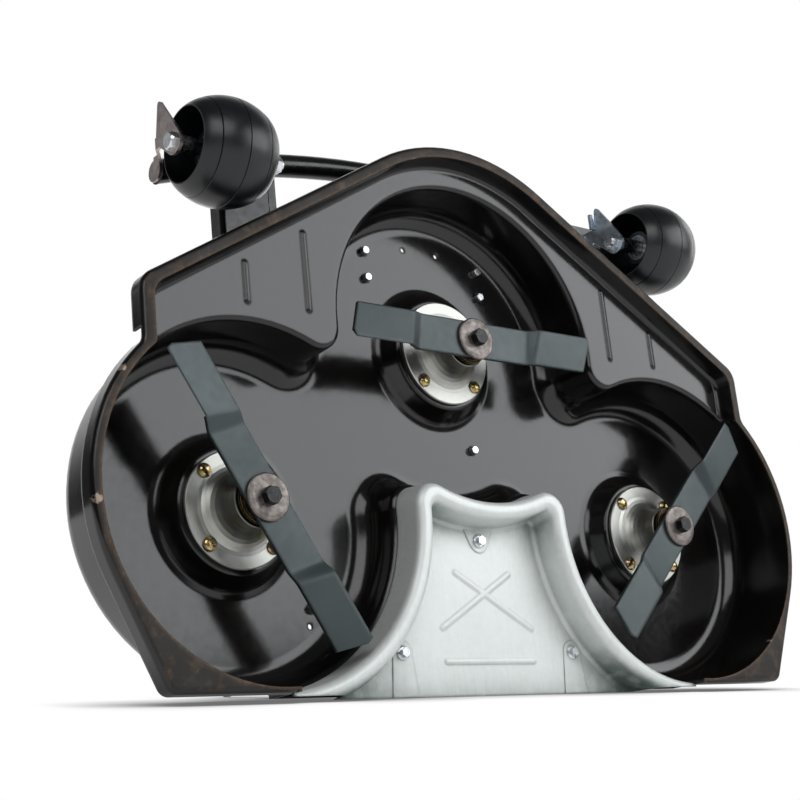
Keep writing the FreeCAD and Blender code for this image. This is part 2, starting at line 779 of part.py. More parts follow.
def make_collar(c):
    # zinc-plated blade carrier: a stepped ring clamped against the shaft's foot
    top = COLLAR_TOP_Y
    mid = BLADE_TOP_Y + COLLAR_H * 0.62
    body = turned([
        (SHAFT_R, BLADE_TOP_Y), (COLLAR_R - 3, BLADE_TOP_Y), (COLLAR_R - 3, BLADE_TOP_Y + 3),
        (COLLAR_R, BLADE_TOP_Y + 4), (COLLAR_R, mid - 1.2), (COLLAR_R - COLLAR_GROOVE, mid - 0.7),
        (COLLAR_R - COLLAR_GROOVE, mid + 0.7), (COLLAR_R, mid + 1.2), (COLLAR_R, top - 1.5),
        (COLLAR_R - 1.5, top - 0.5),
        (BEARING_R - 4, top), (BEARING_R - 4, NOSE_Y + 0.5), (SHAFT_R + 3.2, NOSE_Y + 2.0),
        (SHAFT_R, NOSE_Y + 2.0),
    ], c)
    return body


def make_blade(c, angle):
    w = BLADE_W / 2.0
    half = BLADE_LENGTH / 2.0
    y = BLADE_Y
    t = BLADE_T
    drop = BLADE_DROP
    lift = BLADE_TWIST
    # stations along the blade: distance at the leading and trailing edge, drop of each edge
    rows = [(0.0, 0.0, 0.0, 0.0)]
    for i in range(BEND_STEPS + 1):
        k = i / BEND_STEPS
        ease = k * k * (3.0 - 2.0 * k)
        rows.append((BEND_LEAD_1 + (BEND_LEAD_2 - BEND_LEAD_1) * k,
                     BEND_TRAIL_1 + (BEND_TRAIL_2 - BEND_TRAIL_1) * k,
                     drop * ease, (drop - lift) * ease))
    rows.append((half, half, drop, drop - lift))
    arms = []
    for s in (1, -1):
        wires = []
        for lead, trail, d_lead, d_trail in rows:
            ring = [V(s * lead, y - d_lead, s * w), V(s * trail, y - d_trail, -s * w),
                    V(s * trail, y - d_trail + t, -s * w), V(s * lead, y - d_lead + t, s * w)]
            wires.append(Part.makePolygon(ring + [ring[0]]))
        arms.append(Part.makeLoft(wires, True, True))
    blade = fuse(arms)
    cuts = [disc(CENTRE, BLADE_BOLT_R + BLADE_BOLT_GAP, y - 5, 20)]
    deep = drop + 10
    for s in (1, -1):
        # slanted tip with a clipped leading corner
        tip = [(half - 3, w + 3), (half + 0.0, w - 9), (half - 13, -w - 2), (half + 20, -w - 2),
               (half + 20, w + 3)]
        ring = [V(s * a, y - deep, s * b) for a, b in tip]
        cuts.append(Part.Face(Part.makePolygon(ring + [ring[0]])).extrude(V(0, 40, 0)))
        # ground cutting edge on the wing
        level = y - drop
        a1 = BEND_LEAD_2 - 2.0
        bevel = [V(s * a1, level + 0.8, s * (w + 0.01)), V(s * a1, level + t + 1, s * (w + 0.01)),
                 V(s * a1, level + t + 1, s * (w - 9.0))]
        wedge = Part.Face(Part.makePolygon(bevel + [bevel[0]])).extrude(V(s * 100, 0, 0))
        cuts.append(wedge)
    blade = blade.cut(Part.makeCompound(cuts)).removeSplitter()
    blade.rotate(V(0, 0, 0), V(0, -1, 0), angle)
    blade.translate(V(c.x, 0, c.z))
    return blade


def make_washer(c):
    front = BLADE_Y - WASHER_T
    return turned([
        (BLADE_BOLT_R + BLADE_BOLT_GAP, BLADE_Y), (WASHER_R - 0.8, BLADE_Y), (WASHER_R, BLADE_Y - 0.8),
        (WASHER_R, front + 1.6), (WASHER_R - 1.6, front + 0.4), (WASHER_R - 6, front),
        (BLADE_BOLT_R + BLADE_BOLT_GAP, front),
    ], c)


def make_blade_bolt(c, angle):
    base = BLADE_Y - WASHER_T
    head = hexagon(BLADE_BOLT_AF, BLADE_BOLT_HEAD, V(0, base, 0), V(0, -1, 0))
    crown = turned([(0, base + 1), (BLADE_BOLT_AF * 0.72, base + 1),
                    (BLADE_BOLT_AF * 0.62, base - BLADE_BOLT_HEAD + 1.6),
                    (BLADE_BOLT_AF * 0.5, base - BLADE_BOLT_HEAD), (0, base - BLADE_BOLT_HEAD)])
    head = head.common(crown)
    shank = Part.makeCylinder(BLADE_BOLT_R, 34, V(0, base - 1, 0), V(0, 1, 0))
    bolt = fuse([head, shank])
    bolt.rotate(V(0, 0, 0), V(0, -1, 0), angle)
    bolt.translate(V(c.x, 0, c.z))
    return bolt


def make_pulley(c):
    y = PULLEY_Y
    w = PULLEY_W
    mid = y + w / 2.0
    groove = BELT_PITCH_R - BELT_IN - 2.2
    body = turned([
        (SHAFT_R, y), (24.0, y), (24.0, y + 4), (42.0, y + 4), (42.0, y), (PULLEY_R, y),
        (PULLEY_R, y + 2.5), (groove, mid - 4.2), (groove, mid + 4.2), (PULLEY_R, y + w - 2.5),
        (PULLEY_R, y + w), (42.0, y + w), (42.0, y + w - 4), (24.0, y + w - 4),
        (24.0, y + w), (SHAFT_R, y + w),
    ], c)
    spokes = []
    for i in range(5):
        a = math.radians(72 * i)
        p = V(c.x + 33.0 * math.cos(a), 0, c.z + 33.0 * math.sin(a))
        spokes.append(disc(p, 6.5, y - 1, w + 2))
    return halves(body.cut(Part.makeCompound(spokes)), mid)


def halves(body, y):
    # a pressed pulley is two dished halves that meet in the middle of the groove
    cut = box(-SIDE_X - PULLEY_R, SIDE_X + PULLEY_R, y, y + PULLEY_R, REAR_Z, FRONT_RADIUS)
    return Part.makeCompound([body.cut(cut), body.common(cut)])


def make_pulley_nut(c):
    y = stack_top(c)
    washer = disc(c, END_WASHER_R, y, END_WASHER_T)
    nut = hexagon(END_NUT_AF, END_NUT_H, V(c.x, y + END_WASHER_T, c.z), V(0, 1, 0))
    return fuse([washer, nut]).cut(disc(c, THREAD_R, y - 1, 30))


def make_housing_fasteners():
    heads = []
    nuts = []
    for c in SPINDLES.values():
        for p in flange_points(c):
            top = PAD_Y + SHEET
            prof = [(FASTENER_R, 0), (HEAD_R, 0)]
            for i in range(1, 6):
                a = math.radians(90.0 * i / 5)
                prof.append((HEAD_R * math.cos(a), -HEAD_H * math.sin(a)))
            prof.append((0, top + HOUSING_NUT_H + BOLT_END))
            prof.append((FASTENER_R, top + HOUSING_NUT_H + BOLT_END))
            heads.append(turned(prof, p))
            nut = hexagon(HOUSING_NUT_AF, HOUSING_NUT_H, V(p.x, top, p.z), V(0, 1, 0))
            nuts.append(nut.cut(disc(p, FASTENER_R, PAD_Y, 30)))
    return Part.makeCompound(heads), Part.makeCompound(nuts)


# Belt drive

def idler_axis():
    # the fixed idler leans on the back of the belt between the middle and the right pulley
    u = unit(RIGHT)
    n = V(-u.z, 0, u.x)
    off = BELT_PITCH_R + BELT_OUT + IDLER_GAP + IDLER_R - IDLER_PRESS
    t = (IDLER_X - n.x * off) / u.x
    return u * t + n * off


def belt_stops():
    # pulleys in running order, the radius is negative where the belt passes on the other side
    r = BELT_PITCH_R
    return [(CENTRE, r), (idler_axis(), -(IDLER_R + IDLER_GAP + BELT_OUT)), (RIGHT, r), (LEFT, r)]


def tangent(c1, r1, c2, r2):
    e = unit(c2 - c1)
    s = (r1 - r2) / (c2 - c1).Length
    d = e * math.sqrt(1 - s * s) - V(-e.z, 0, e.x) * s
    n = V(-d.z, 0, d.x)
    return c1 + n * r1, c2 + n * r2, d


def make_belt():
    stops = belt_stops()
    count = len(stops)
    runs = []
    for i in range(count):
        c1, r1 = stops[i]
        c2, r2 = stops[(i + 1) % count]
        runs.append(tangent(c1, r1, c2, r2))
    pieces = []
    for i in range(count):
        a, b, d = runs[i]
        n = V(-d.z, 0, d.x)
        ring = []
        for off, w in ((BELT_OUT, 1), (BELT_OUT, -1), (-BELT_IN, -1), (-BELT_IN, 1)):
            width = BELT_W_OUT if off > 0 else BELT_W_IN
            ring.append(V(0, BELT_Y + w * width / 2.0, 0) + n * off)
        section = Part.Face(Part.makePolygon(ring + [ring[0]]))
        start = section.translated(a)
        pieces.append(start.extrude(b - a))
        centre, r = stops[(i + 1) % count]
        nxt = runs[(i + 1) % count]
        n2 = V(-nxt[2].z, 0, nxt[2].x)
        a1 = math.atan2(n.z, n.x)
        a2 = math.atan2(n2.z, n2.x)
        if r > 0:
            angle = math.degrees((a1 - a2) % (2 * math.pi))
            axis = V(0, 1, 0)
        else:
            angle = math.degrees((a2 - a1) % (2 * math.pi))
            axis = V(0, -1, 0)
        pieces.append(section.translated(b).revolve(centre, axis, angle))
    return fuse(pieces)


def hull_wire(stops, place):
    # outline stretched around circles (u, v, r), given in counter-clockwise order
    count = len(stops)
    touch = []
    for i in range(count):
        u1, v1, r1 = stops[i]
        u2, v2, r2 = stops[(i + 1) % count]
        du = u2 - u1
        dv = v2 - v1
        dist = math.hypot(du, dv)
        s = (r1 - r2) / dist
        c = math.sqrt(1 - s * s)
        nu = dv / dist * c + du / dist * s
        nv = -du / dist * c + dv / dist * s
        touch.append(((u1 + nu * r1, v1 + nv * r1), (u2 + nu * r2, v2 + nv * r2), (nu, nv)))
    edges = []
    for i in range(count):
        p, q, n1 = touch[i]
        start, _, n2 = touch[(i + 1) % count]
        edges.append(Part.makeLine(place(*p), place(*q)))
        u, v, r = stops[(i + 1) % count]
        m = math.hypot(n1[0] + n2[0], n1[1] + n2[1])
        mid = (u + (n1[0] + n2[0]) / m * r, v + (n1[1] + n2[1]) / m * r)
        edges.append(Part.Arc(place(*q), place(*mid), place(*start)).toShape())
    return Part.Wire(edges)


def plate_xz(stops, y, h):
    wire = hull_wire(stops, lambda u, v: V(u, y, v))
    return Part.Face(wire).extrude(V(0, h, 0))


def plate_yz(stops, x, t):
    wire = hull_wire(stops, lambda u, v: V(x, u, v))
    return Part.Face(wire).extrude(V(t, 0, 0))


def make_idler_bracket():
    a = idler_axis()
    (x1, z1), (x2, z2) = PAIR_HOLES
    stops = [(a.x, a.z, 19.0), (x1 + 5, z1, 15.0), (x1 - 4, z1, 15.0), (x2 - 4, z2 - 6, 15.0)]
    plate = plate_xz(stops, TOP_Y, BRACKET_T)
    stud = disc(a, STUD_R, TOP_Y + BRACKET_T, PULLEY_Y + PULLEY_W - TOP_Y - BRACKET_T + 2)
    foot = disc(a, STUD_R + 4.0, TOP_Y + BRACKET_T,
                PULLEY_Y - TOP_Y - BRACKET_T - SIDE_GAP)
    body = fuse([plate, stud, foot])
    for x, z in PAIR_HOLES:
        body = body.cut(disc(flat(x, z), PAIR_HOLE_R, TOP_Y - BRACKET_T, 3 * BRACKET_T))
    return body


def ceiling_bolts(places, seat):
    # bolts with their heads on the top side, whose ends show under the ceiling
    out = []
    end = CEILING_Y - CEILING_BOLT_TAIL
    r = CEILING_BOLT_R
    for x, z in places:
        head = hexagon(CEILING_BOLT_AF, CEILING_BOLT_HEAD, V(x, seat, z), V(0, 1, 0))
        shank = turned([(0, end), (r - CEILING_BOLT_CHAMFER, end), (r, end + CEILING_BOLT_CHAMFER),
                        (r, seat + 1), (0, seat + 1)], flat(x, z))
        out.append(fuse([head, shank]))
    return Part.makeCompound(out)


def make_bracket_bolts():
    return ceiling_bolts(PAIR_HOLES, TOP_Y + BRACKET_T)


def make_cover_bolts():
    # the same bolts where the belt's cover and guards are fixed
    return ceiling_bolts([(-x, z) for x, z in PAIR_HOLES] + SINGLE_HOLES, TOP_Y)


def make_idler():
    a = idler_axis()
    y = PULLEY_Y
    w = PULLEY_W
    rim = turned([
        (IDLER_R - 4, y), (IDLER_R + 3, y), (IDLER_R + 3, y + 1.6), (IDLER_R, y + 2.6),
        (IDLER_R, y + w - 2.6), (IDLER_R + 3, y + w - 1.6), (IDLER_R + 3, y + w),
        (IDLER_R - 4, y + w), (IDLER_R - 4, y + w - 3), (14.0, y + w - 3), (14.0, y + w),
        (STUD_R + RUN_GAP, y + w), (STUD_R + RUN_GAP, y), (14.0, y), (14.0, y + 3),
        (IDLER_R - 4, y + 3),
    ], a)
    return rim


def make_idler_nut():
    a = idler_axis()
    y = PULLEY_Y + PULLEY_W + SIDE_GAP
    washer = disc(a, 11.0, y, 1.6)
    nut = hexagon(17.0, 8.0, V(a.x, y + 1.6, a.z), V(0, 1, 0))
    return fuse([washer, nut]).cut(disc(a, STUD_R, y - 3, 5.0 + SIDE_GAP))


def make_drive_pulley():
    # second groove on the middle spindle takes the belt from the engine
    y = PULLEY_Y + PULLEY_W
    w = DRIVE_W
    mid = y + w / 2.0
    body = turned([
        (SHAFT_R, y), (DRIVE_R, y), (DRIVE_R, y + 2), (DRIVE_R - 10.0, mid - 3.8),
        (DRIVE_R - 10.0, mid + 3.8), (DRIVE_R, y + w - 2), (DRIVE_R, y + w),
        (34.0, y + w), (34.0, y + w - 5), (22.0, y + w - 5), (22.0, y + w), (SHAFT_R, y + w),
    ])
    return halves(body, mid)


# Carrier

def bow_solid(r):
    big = (BOW_END_X ** 2 + BOW_DROP ** 2) / (2.0 * BOW_DROP)
    centre = V(0, BOW_Y, BOW_Z - big)
    angle = math.degrees(math.asin(BOW_END_X / big)) + 3.0
    ring = Part.makeCircle(r, V(0, BOW_Y, BOW_Z), V(1, 0, 0))
    ring.rotate(centre, V(0, 1, 0), -angle)
    face = Part.Face(Part.Wire([ring]))
    tube = face.revolve(centre, V(0, 1, 0), 2 * angle)
    keep = box(-BOW_END_X, BOW_END_X, BOW_Y - 60, BOW_Y + 60, BOW_Z - 200, BOW_Z + 60)
    return tube.common(keep)


def make_bow():
    return bow_solid(BOW_R).cut(bow_solid(BOW_R - BOW_WALL))


def make_post(side):
    # channel that hangs under the arm and carries the wheel
    x1, x2 = sorted((side * POST_X1, side * POST_X2))
    top = TOP_Y
    outer = box(x1, x2, POST_Y, top, POST_Z1, POST_Z2)
    corners = [e for e in outer.Edges if abs(e.BoundBox.ZLength - (POST_Z2 - POST_Z1)) < 0.1
               and abs(e.BoundBox.YMax - POST_Y) < 0.1]
    outer = outer.makeFillet(POST_CORNER, corners)
    inner = box(x1 + POST_T, x2 - POST_T, POST_Y + POST_T, top + 1, POST_Z1 - 1, POST_Z2 + 1)
    # seam down the front face, where its two angles are welded
    xm = side * (POST_X1 + POST_SEAM_IN)
    seam = box(xm - POST_SEAM / 2.0, xm + POST_SEAM / 2.0, POST_Y - 1, POST_Y + POST_SEAM_D,
               POST_Z1 - 1, POST_Z2 + 1)
    body = outer.cut(inner).cut(seam)
    return body.cut(bow_solid(BOW_R))


def make_arm(side):
    y1 = TOP_Y
    x1 = side * ARM_X - ARM_W / 2.0
    x2 = side * ARM_X + ARM_W / 2.0
    outer = box(x1, x2, y1, y1 + ARM_H, ARM_REAR_Z, ARM_FRONT_Z)
    edges = [e for e in outer.Edges if e.BoundBox.ZLength > 100]
    outer = outer.makeFillet(ARM_CORNER, edges)
    inner = box(x1 + ARM_WALL, x2 - ARM_WALL, y1 + ARM_WALL, y1 + ARM_H - ARM_WALL,
                ARM_REAR_Z - 1, ARM_FRONT_Z + 1)
    return outer.cut(inner).cut(bow_solid(BOW_R))


def make_cross_member():
    y1 = TOP_Y + ARM_H
    x = ARM_X + ARM_W / 2.0
    outer = box(-x, x, y1, y1 + CROSS_H, CROSS_Z1, CROSS_Z2)
    edges = [e for e in outer.Edges if e.BoundBox.XLength > 100]
    outer = outer.makeFillet(ARM_CORNER, edges)
    inner = box(-x - 1, x + 1, y1 + ARM_WALL, y1 + CROSS_H - ARM_WALL,
                CROSS_Z1 + ARM_WALL, CROSS_Z2 - ARM_WALL)
    return outer.cut(inner)


def foot_centre():
    # the foot of each coupling plate and the plug's rear edge stand on one floor
    a = math.radians(LEAN)
    floor = math.cos(a) * PLUG_REAR_Z - math.sin(a) * PLATFORM_Y
    y = PROP_Y - FOOT_R * math.sin(a)
    return y, (floor + FOOT_R + math.sin(a) * y) / math.cos(a)


def make_coupling_plate(side):
    y1 = TOP_Y
    fy, fz = foot_centre()
    stops = [
        (y1 + 3, ARM_REAR_Z + 8, 3.0), (fy, fz, FOOT_R), (HITCH_Y, HITCH_Z, HITCH_LOBE),
        (y1 + 3, HITCH_Z + 60, 3.0),
    ]
    x1, x2 = sorted((side * (ARM_X + ARM_W / 2.0), side * (ARM_X + ARM_W / 2.0 + PLATE_T)))
    plate = plate_yz(stops, x1, x2 - x1)
    return plate.cut(Part.makeCylinder(BUSH_R, 60, V(x1 - 20, HITCH_Y, HITCH_Z), V(1, 0, 0)))


def make_bushes():
    out = []
    for s in (1, -1):
        x = s * (ARM_X + ARM_W / 2.0 + PLATE_T / 2.0) - BUSH_L / 2.0
        bush = Part.makeCylinder(BUSH_R, BUSH_L, V(x, HITCH_Y, HITCH_Z), V(1, 0, 0))
        out.append(bush.cut(Part.makeCylinder(HITCH_R, 60, V(x - 10, HITCH_Y, HITCH_Z),
                                              V(1, 0, 0))))
    return Part.makeCompound(out)


# Wheels and their yokes, modelled for the right side and mirrored for the left

def axle_disc(r, x1, x2):
    return Part.makeCylinder(r, x2 - x1, V(x1, WHEEL_Y, WHEEL_Z), V(1, 0, 0))


def make_wheel():
    half = WHEEL_W / 2.0
    base = WHEEL_R - WHEEL_CROWN
    mouth = WHEEL_MOUTH_R
    web = WHEEL_WEB / 2.0
    groove = WHEEL_GROOVE_X
    g = WHEEL_GROOVE_W

    def crown(x):
        return base + math.sqrt(WHEEL_CROWN ** 2 - x * x)

    def p(x, r):
        return V(WHEEL_X + x, WHEEL_Y, WHEEL_Z + r)

    def arc(x1, x2):
        xm = (x1 + x2) / 2.0
        return Part.Arc(p(x1, crown(x1)), p(xm, crown(xm)), p(x2, crown(x2))).toShape()

    def shoulder(s):
        # rounded shoulder from the outer mould groove to the mouth
        a = V(groove + g, crown(groove + g), 0)
        b = V(half - WHEEL_LIP, mouth + WHEEL_LIP, 0)
        n = unit(V(a.y - b.y, b.x - a.x, 0))
        m = (a + b) * 0.5 + n * WHEEL_BULGE
        return [p(s * a.x, a.y), p(s * m.x, m.y), p(s * b.x, b.y)]

    # tread with a fine mould groove near each end and one around the middle
    edges = []
    left = shoulder(-1)
    right = shoulder(1)
    edges.append(Part.Arc(left[2], left[1], left[0]).toShape())
    here = left[0]
    for x in (-groove, 0.0, groove):
        bottom = p(x, crown(x) - WHEEL_GROOVE_D)
        after = p(x + g, crown(x + g))
        if x > -groove:
            before = p(x - g, crown(x - g))
            edges.append(arc(last + g, x - g))
            here = before
        edges.append(Part.makeLine(here, bottom))
        edges.append(Part.makeLine(bottom, after))
        last = x
    edges.append(Part.Arc(right[0], right[1], right[2]).toShape())
    bore = WHEEL_BEARING_R - 3.0
    seat = HUB_W / 2.0 - WHEEL_BEARING_W
    ring = [(half, mouth), (half, mouth - WHEEL_LIP), (web, mouth - WHEEL_WALL), (web, HUB_R + 1),
            (HUB_W / 2, HUB_R), (HUB_W / 2, WHEEL_BEARING_R), (seat, WHEEL_BEARING_R),
            (seat, bore), (-seat, bore), (-seat, WHEEL_BEARING_R),
            (-HUB_W / 2, WHEEL_BEARING_R), (-HUB_W / 2, HUB_R), (-web, HUB_R + 1),
            (-web, mouth - WHEEL_WALL), (-half, mouth - WHEEL_LIP), (-half, mouth)]
    pts = [right[2]] + [p(x, r) for x, r in ring] + [left[2]]
    for a, b in zip(pts, pts[1:]):
        edges.append(Part.makeLine(a, b))
    face = Part.Face(Part.Wire(edges))
    return face.revolve(V(WHEEL_X, WHEEL_Y, WHEEL_Z), V(1, 0, 0), 360)


def make_wheel_bearings():
    out = []
    seat = HUB_W / 2.0 - WHEEL_BEARING_W
    for x in (WHEEL_X + seat, WHEEL_X - seat - WHEEL_BEARING_W):
        ring = axle_disc(WHEEL_BEARING_R, x, x + WHEEL_BEARING_W)
        ring = ring.cut(axle_disc(AXLE_R + RUN_GAP, x - 1, x + 30))
        for gx in (x, x + WHEEL_BEARING_W - 0.8):
            groove = axle_disc(WHEEL_BEARING_R - 3.0, gx, gx + 0.8)
            ring = ring.cut(groove.cut(axle_disc(AXLE_R + 3.0, gx, gx + 0.8)))
        out.append(ring)
    return Part.makeCompound(out)


def make_sleeves():
    out = []
    for x1, x2 in ((YOKE_IN_X, WHEEL_X - HUB_W / 2.0 - SIDE_GAP),
                   (WHEEL_X + HUB_W / 2.0 + SIDE_GAP, YOKE_OUT_X)):
        out.append(axle_disc(SLEEVE_R, x1, x2).cut(axle_disc(AXLE_R, x1 - 1, x2 + 1)))
    return Part.makeCompound(out)


def make_axle_bolt():
    x = YOKE_OUT_X + YOKE_T
    head = hexagon(AXLE_HEAD_AF, AXLE_HEAD, V(x, WHEEL_Y, WHEEL_Z), V(1, 0, 0))
    cone = Part.makeCone(AXLE_HEAD_AF * 0.72, AXLE_HEAD_AF * 0.46, AXLE_HEAD,
                         V(x, WHEEL_Y, WHEEL_Z), V(1, 0, 0))
    tail = YOKE_IN_X - YOKE_T - AXLE_NUT - 3.0
    return fuse([head.common(cone), axle_disc(AXLE_R, tail, x + 1)])


def make_axle_nut():
    x = YOKE_IN_X - YOKE_T
    nut = hexagon(AXLE_HEAD_AF, AXLE_NUT, V(x, WHEEL_Y, WHEEL_Z), V(-1, 0, 0))
    return nut.cut(axle_disc(AXLE_R, x - 20, x + 1))


def bent_strip(points, t, z1, z2):
    # strip of plate bent along a path seen from above
    ring = [V(x, y, z1) for x, y in points]
    back = []
    for i in range(len(points) - 1, -1, -1):
        dx = 0.0
        dy = 0.0
        if i > 0:
            a = V(points[i][0] - points[i - 1][0], points[i][1] - points[i - 1][1], 0)
            a.normalize()
            dx += a.y
            dy -= a.x
        if i < len(points) - 1:
            b = V(points[i + 1][0] - points[i][0], points[i + 1][1] - points[i][1], 0)
            b.normalize()
            dx += b.y
            dy -= b.x
        m = math.hypot(dx, dy)
        k = t / m * (2.0 / m if 0 < i < len(points) - 1 else 1.0)
        back.append(V(points[i][0] + dx * k, points[i][1] + dy * k, z1))
    ring += back
    return Part.Face(Part.makePolygon(ring + [ring[0]])).extrude(V(0, 0, z2 - z1))


def yoke_blade(x):
    heel_y = YOKE_BACK_Y - YOKE_CORNER_R
    stops = [(WHEEL_Y, WHEEL_Z, YOKE_EYE_R),
             (heel_y, YOKE_HEEL_Z + YOKE_CORNER_R, YOKE_CORNER_R), (SPIKE_Y, SPIKE_Z, SPIKE_R)]
    return plate_yz(stops, x, YOKE_T)


def make_yoke_outer():
    blade = yoke_blade(YOKE_OUT_X)
    # tail steps inwards behind the wheel and ends in a round cap on the bow's open end
    path = [(BOW_END_X, BOW_Y), (BOW_END_X, BOW_Y - BOW_R),
            (YOKE_OUT_X, YOKE_BACK_Y), (YOKE_OUT_X, WHEEL_Y + TAIL_EYE_GAP)]
    tail = bent_strip(path, -YOKE_T, TAIL_Z1, TAIL_Z2)
    keep = box(BOW_END_X, YOKE_OUT_X + YOKE_T, -80, 80, TAIL_Z1, TAIL_Z2)
    cap = Part.makeCylinder(BOW_R - CAP_INSET, YOKE_T, V(BOW_END_X, BOW_Y, BOW_END_Z), V(1, 0, 0))
    body = fuse([blade, tail.common(keep), cap])
    return body.cut(axle_disc(AXLE_R, YOKE_OUT_X - 5, YOKE_OUT_X + 20))


def make_yoke_inner():
    x = YOKE_IN_X - YOKE_T
    blade = yoke_blade(x)
    # runs back to the post and stands on it with a bent foot
    top = TAIL_Z2 + BACK_OVER_TAIL
    back = box(x, x + YOKE_T, YOKE_BACK_Y - 3, POST_Y, YOKE_HEEL_Z + 1, top)
    foot = box(x - YOKE_FOOT, x + YOKE_T, POST_Y - YOKE_T, POST_Y, YOKE_HEEL_Z + 1, top)
    lip = box(x - YOKE_LIP, x + YOKE_T, YOKE_BACK_Y - YOKE_T, YOKE_BACK_Y, top,
              SPIKE_Z - LIP_FROM_TIP)
    body = fuse([blade, back, foot, lip])
    return body.cut(axle_disc(AXLE_R, x - 5, x + 20))


# Build, lean back, set down and export

def make_parts():
    parts = {"deck_shell": make_shell(), "mulch_plug": make_plug(),
             "plug_bolts": make_plug_bolts()}
    for name, c in SPINDLES.items():
        angle = BLADE_ANGLES[name]
        parts["spindle_housing_" + name] = make_housing(c)
        parts["spindle_bearings_" + name] = make_bearings(c)
        parts["spindle_shaft_" + name] = make_shaft(c)
        parts["blade_collar_" + name] = make_collar(c)
        parts["blade_" + name] = make_blade(c, angle)
        parts["blade_washer_" + name] = make_washer(c)
        parts["blade_bolt_" + name] = make_blade_bolt(c, angle + 20.0)
        parts["spindle_pulley_" + name] = make_pulley(c)
        parts["pulley_nut_" + name] = make_pulley_nut(c)
    heads, nuts = make_housing_fasteners()
    parts["housing_bolts"] = heads
    parts["housing_nuts"] = nuts
    parts["drive_belt"] = make_belt()
    parts["idler_bracket"] = make_idler_bracket()
    parts["bracket_bolts"] = make_bracket_bolts()
    parts["idler_pulley"] = make_idler()
    parts["idler_nut"] = make_idler_nut()
    parts["drive_pulley"] = make_drive_pulley()
    parts["cover_bolts"] = make_cover_bolts()
    parts["front_bow"] = make_bow()
    parts["cross_member"] = make_cross_member()
    parts["hitch_bushes"] = make_bushes()
    for name, s in (("left", -1), ("right", 1)):
        parts["wheel_post_" + name] = make_post(s)
        parts["carrier_arm_" + name] = make_arm(s)
        parts["coupling_plate_" + name] = make_coupling_plate(s)
    wheel_side = {
        "wheel": make_wheel(), "wheel_bearings": make_wheel_bearings(),
        "yoke_outer": make_yoke_outer(), "yoke_inner": make_yoke_inner(),
    }
    for name, shape in wheel_side.items():
        right, left = both_sides(shape)
        parts[name + "_right"] = right
        parts[name + "_left"] = left
    # what is alike on both sides and stands still is one group
    parts["wheel_sleeves"] = Part.makeCompound(both_sides(make_sleeves()))
    parts["axle_bolts"] = Part.makeCompound(both_sides(make_axle_bolt()))
    parts["axle_nuts"] = Part.makeCompound(both_sides(make_axle_nut()))
    return parts


def main():
    parts = make_parts()
    total = FreeCAD.BoundBox()
    for shape in parts.values():
        shape.rotate(V(0, 0, 0), V(1, 0, 0), -LEAN)
        total.add(shape.optimalBoundingBox())
    move = V(-(total.XMin + total.XMax) / 2, -(total.YMin + total.YMax) / 2, -total.ZMin)
    os.makedirs("parts", exist_ok=True)
    for name, shape in parts.items():
        shape.translate(move)
        shape.exportStep("parts/" + name + ".step")
        bad = "" if shape.isValid() else "  NOT VALID"
        print(name, len(shape.Solids), round(shape.Volume / 1000.0, 1), bad)
    print("size", [round(v, 1) for v in (total.XLength, total.YLength, total.ZLength)])
    print("moved", [round(v, 3) for v in move])


main()
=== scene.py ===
import json
import math

import bpy
from mathutils import Matrix, Vector

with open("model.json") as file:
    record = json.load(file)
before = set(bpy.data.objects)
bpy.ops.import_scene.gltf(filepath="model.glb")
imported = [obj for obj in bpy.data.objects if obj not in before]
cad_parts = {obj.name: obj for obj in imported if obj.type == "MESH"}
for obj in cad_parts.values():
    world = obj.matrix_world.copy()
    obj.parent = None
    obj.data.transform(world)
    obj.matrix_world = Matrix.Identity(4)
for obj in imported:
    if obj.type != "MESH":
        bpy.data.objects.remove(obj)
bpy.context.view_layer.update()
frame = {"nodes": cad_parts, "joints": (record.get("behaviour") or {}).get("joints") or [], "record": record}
nodes = frame["nodes"]

MM = 0.001
LEAN = math.radians(9.0)  # the deck leans back on its rear edge
CORNER_RAYS = 6  # samples of each corner and crevice test, few to keep the render short
FLAT, SHARP = 0.985, 0.80  # cosine between a face and its rolled corner, from clean to worn
OPEN, SHUT = 0.85, 0.25  # share of open sky over a point, from open to dark with dirt and painted shade


# Places in the row frame, taken from the imported nodes and joints

def deck_y(point):
    # depth from the cutting side to the belt side, square to the leaning deck
    return point[1] * math.cos(LEAN) - point[2] * math.sin(LEAN)


def spindle_at(side):
    # a spindle's place across and along the deck
    joint = "spindle_%s_spin" % side
    p = next(j for j in frame["joints"] if j["name"] == joint)["pos_m"]
    return p[0], p[1] * math.sin(LEAN) + p[2] * math.cos(LEAN)


RIM_FACE = min(deck_y(v.co) for v in nodes["deck_shell"].data.vertices)
CENTRE_Z = spindle_at("centre")[1]
# pale chips and dark scars in the rim's enamel: across and along from the centre spindle, and
# size, in mm
CHIPS = [(-499, -99, 4.5), (-532, -237, 5.0), (455, -373, 2.5)]
SCARS = [(-190, 172, 3.0), (-333, 84, 3.0), (-306, 106, 3.5), (-297, 111, 2.5)]
RAG_MM, RAG = 3.5, 0.45  # size of the bites in a spot's outline, and their depth by its radius
SPOT_CORE = 0.75  # share of a spot's radius that is solid


# Colours, and the nodes that make a finish

def tone(text):
    # sRGB hex colour as linear RGBA
    out = []
    for i in (0, 2, 4):
        v = int(text[i:i + 2], 16) / 255.0
        out.append(v / 12.92 if v <= 0.04045 else ((v + 0.055) / 1.055) ** 2.4)
    return (*out, 1.0)


def pattern(vector, size_mm, detail=3.0, rough=0.55):
    # inputs of a noise whose patches are about size_mm across
    return {"Vector": vector, "Scale": 1.0 / (size_mm * MM), "Detail": detail, "Roughness": rough}


def ramp(value, start, end, least=0.0, most=1.0):
    # inputs of a range that runs from least to most while the value goes from start to end
    return {"Value": value, "From Min": start, "From Max": end, "To Min": least, "To Max": most}


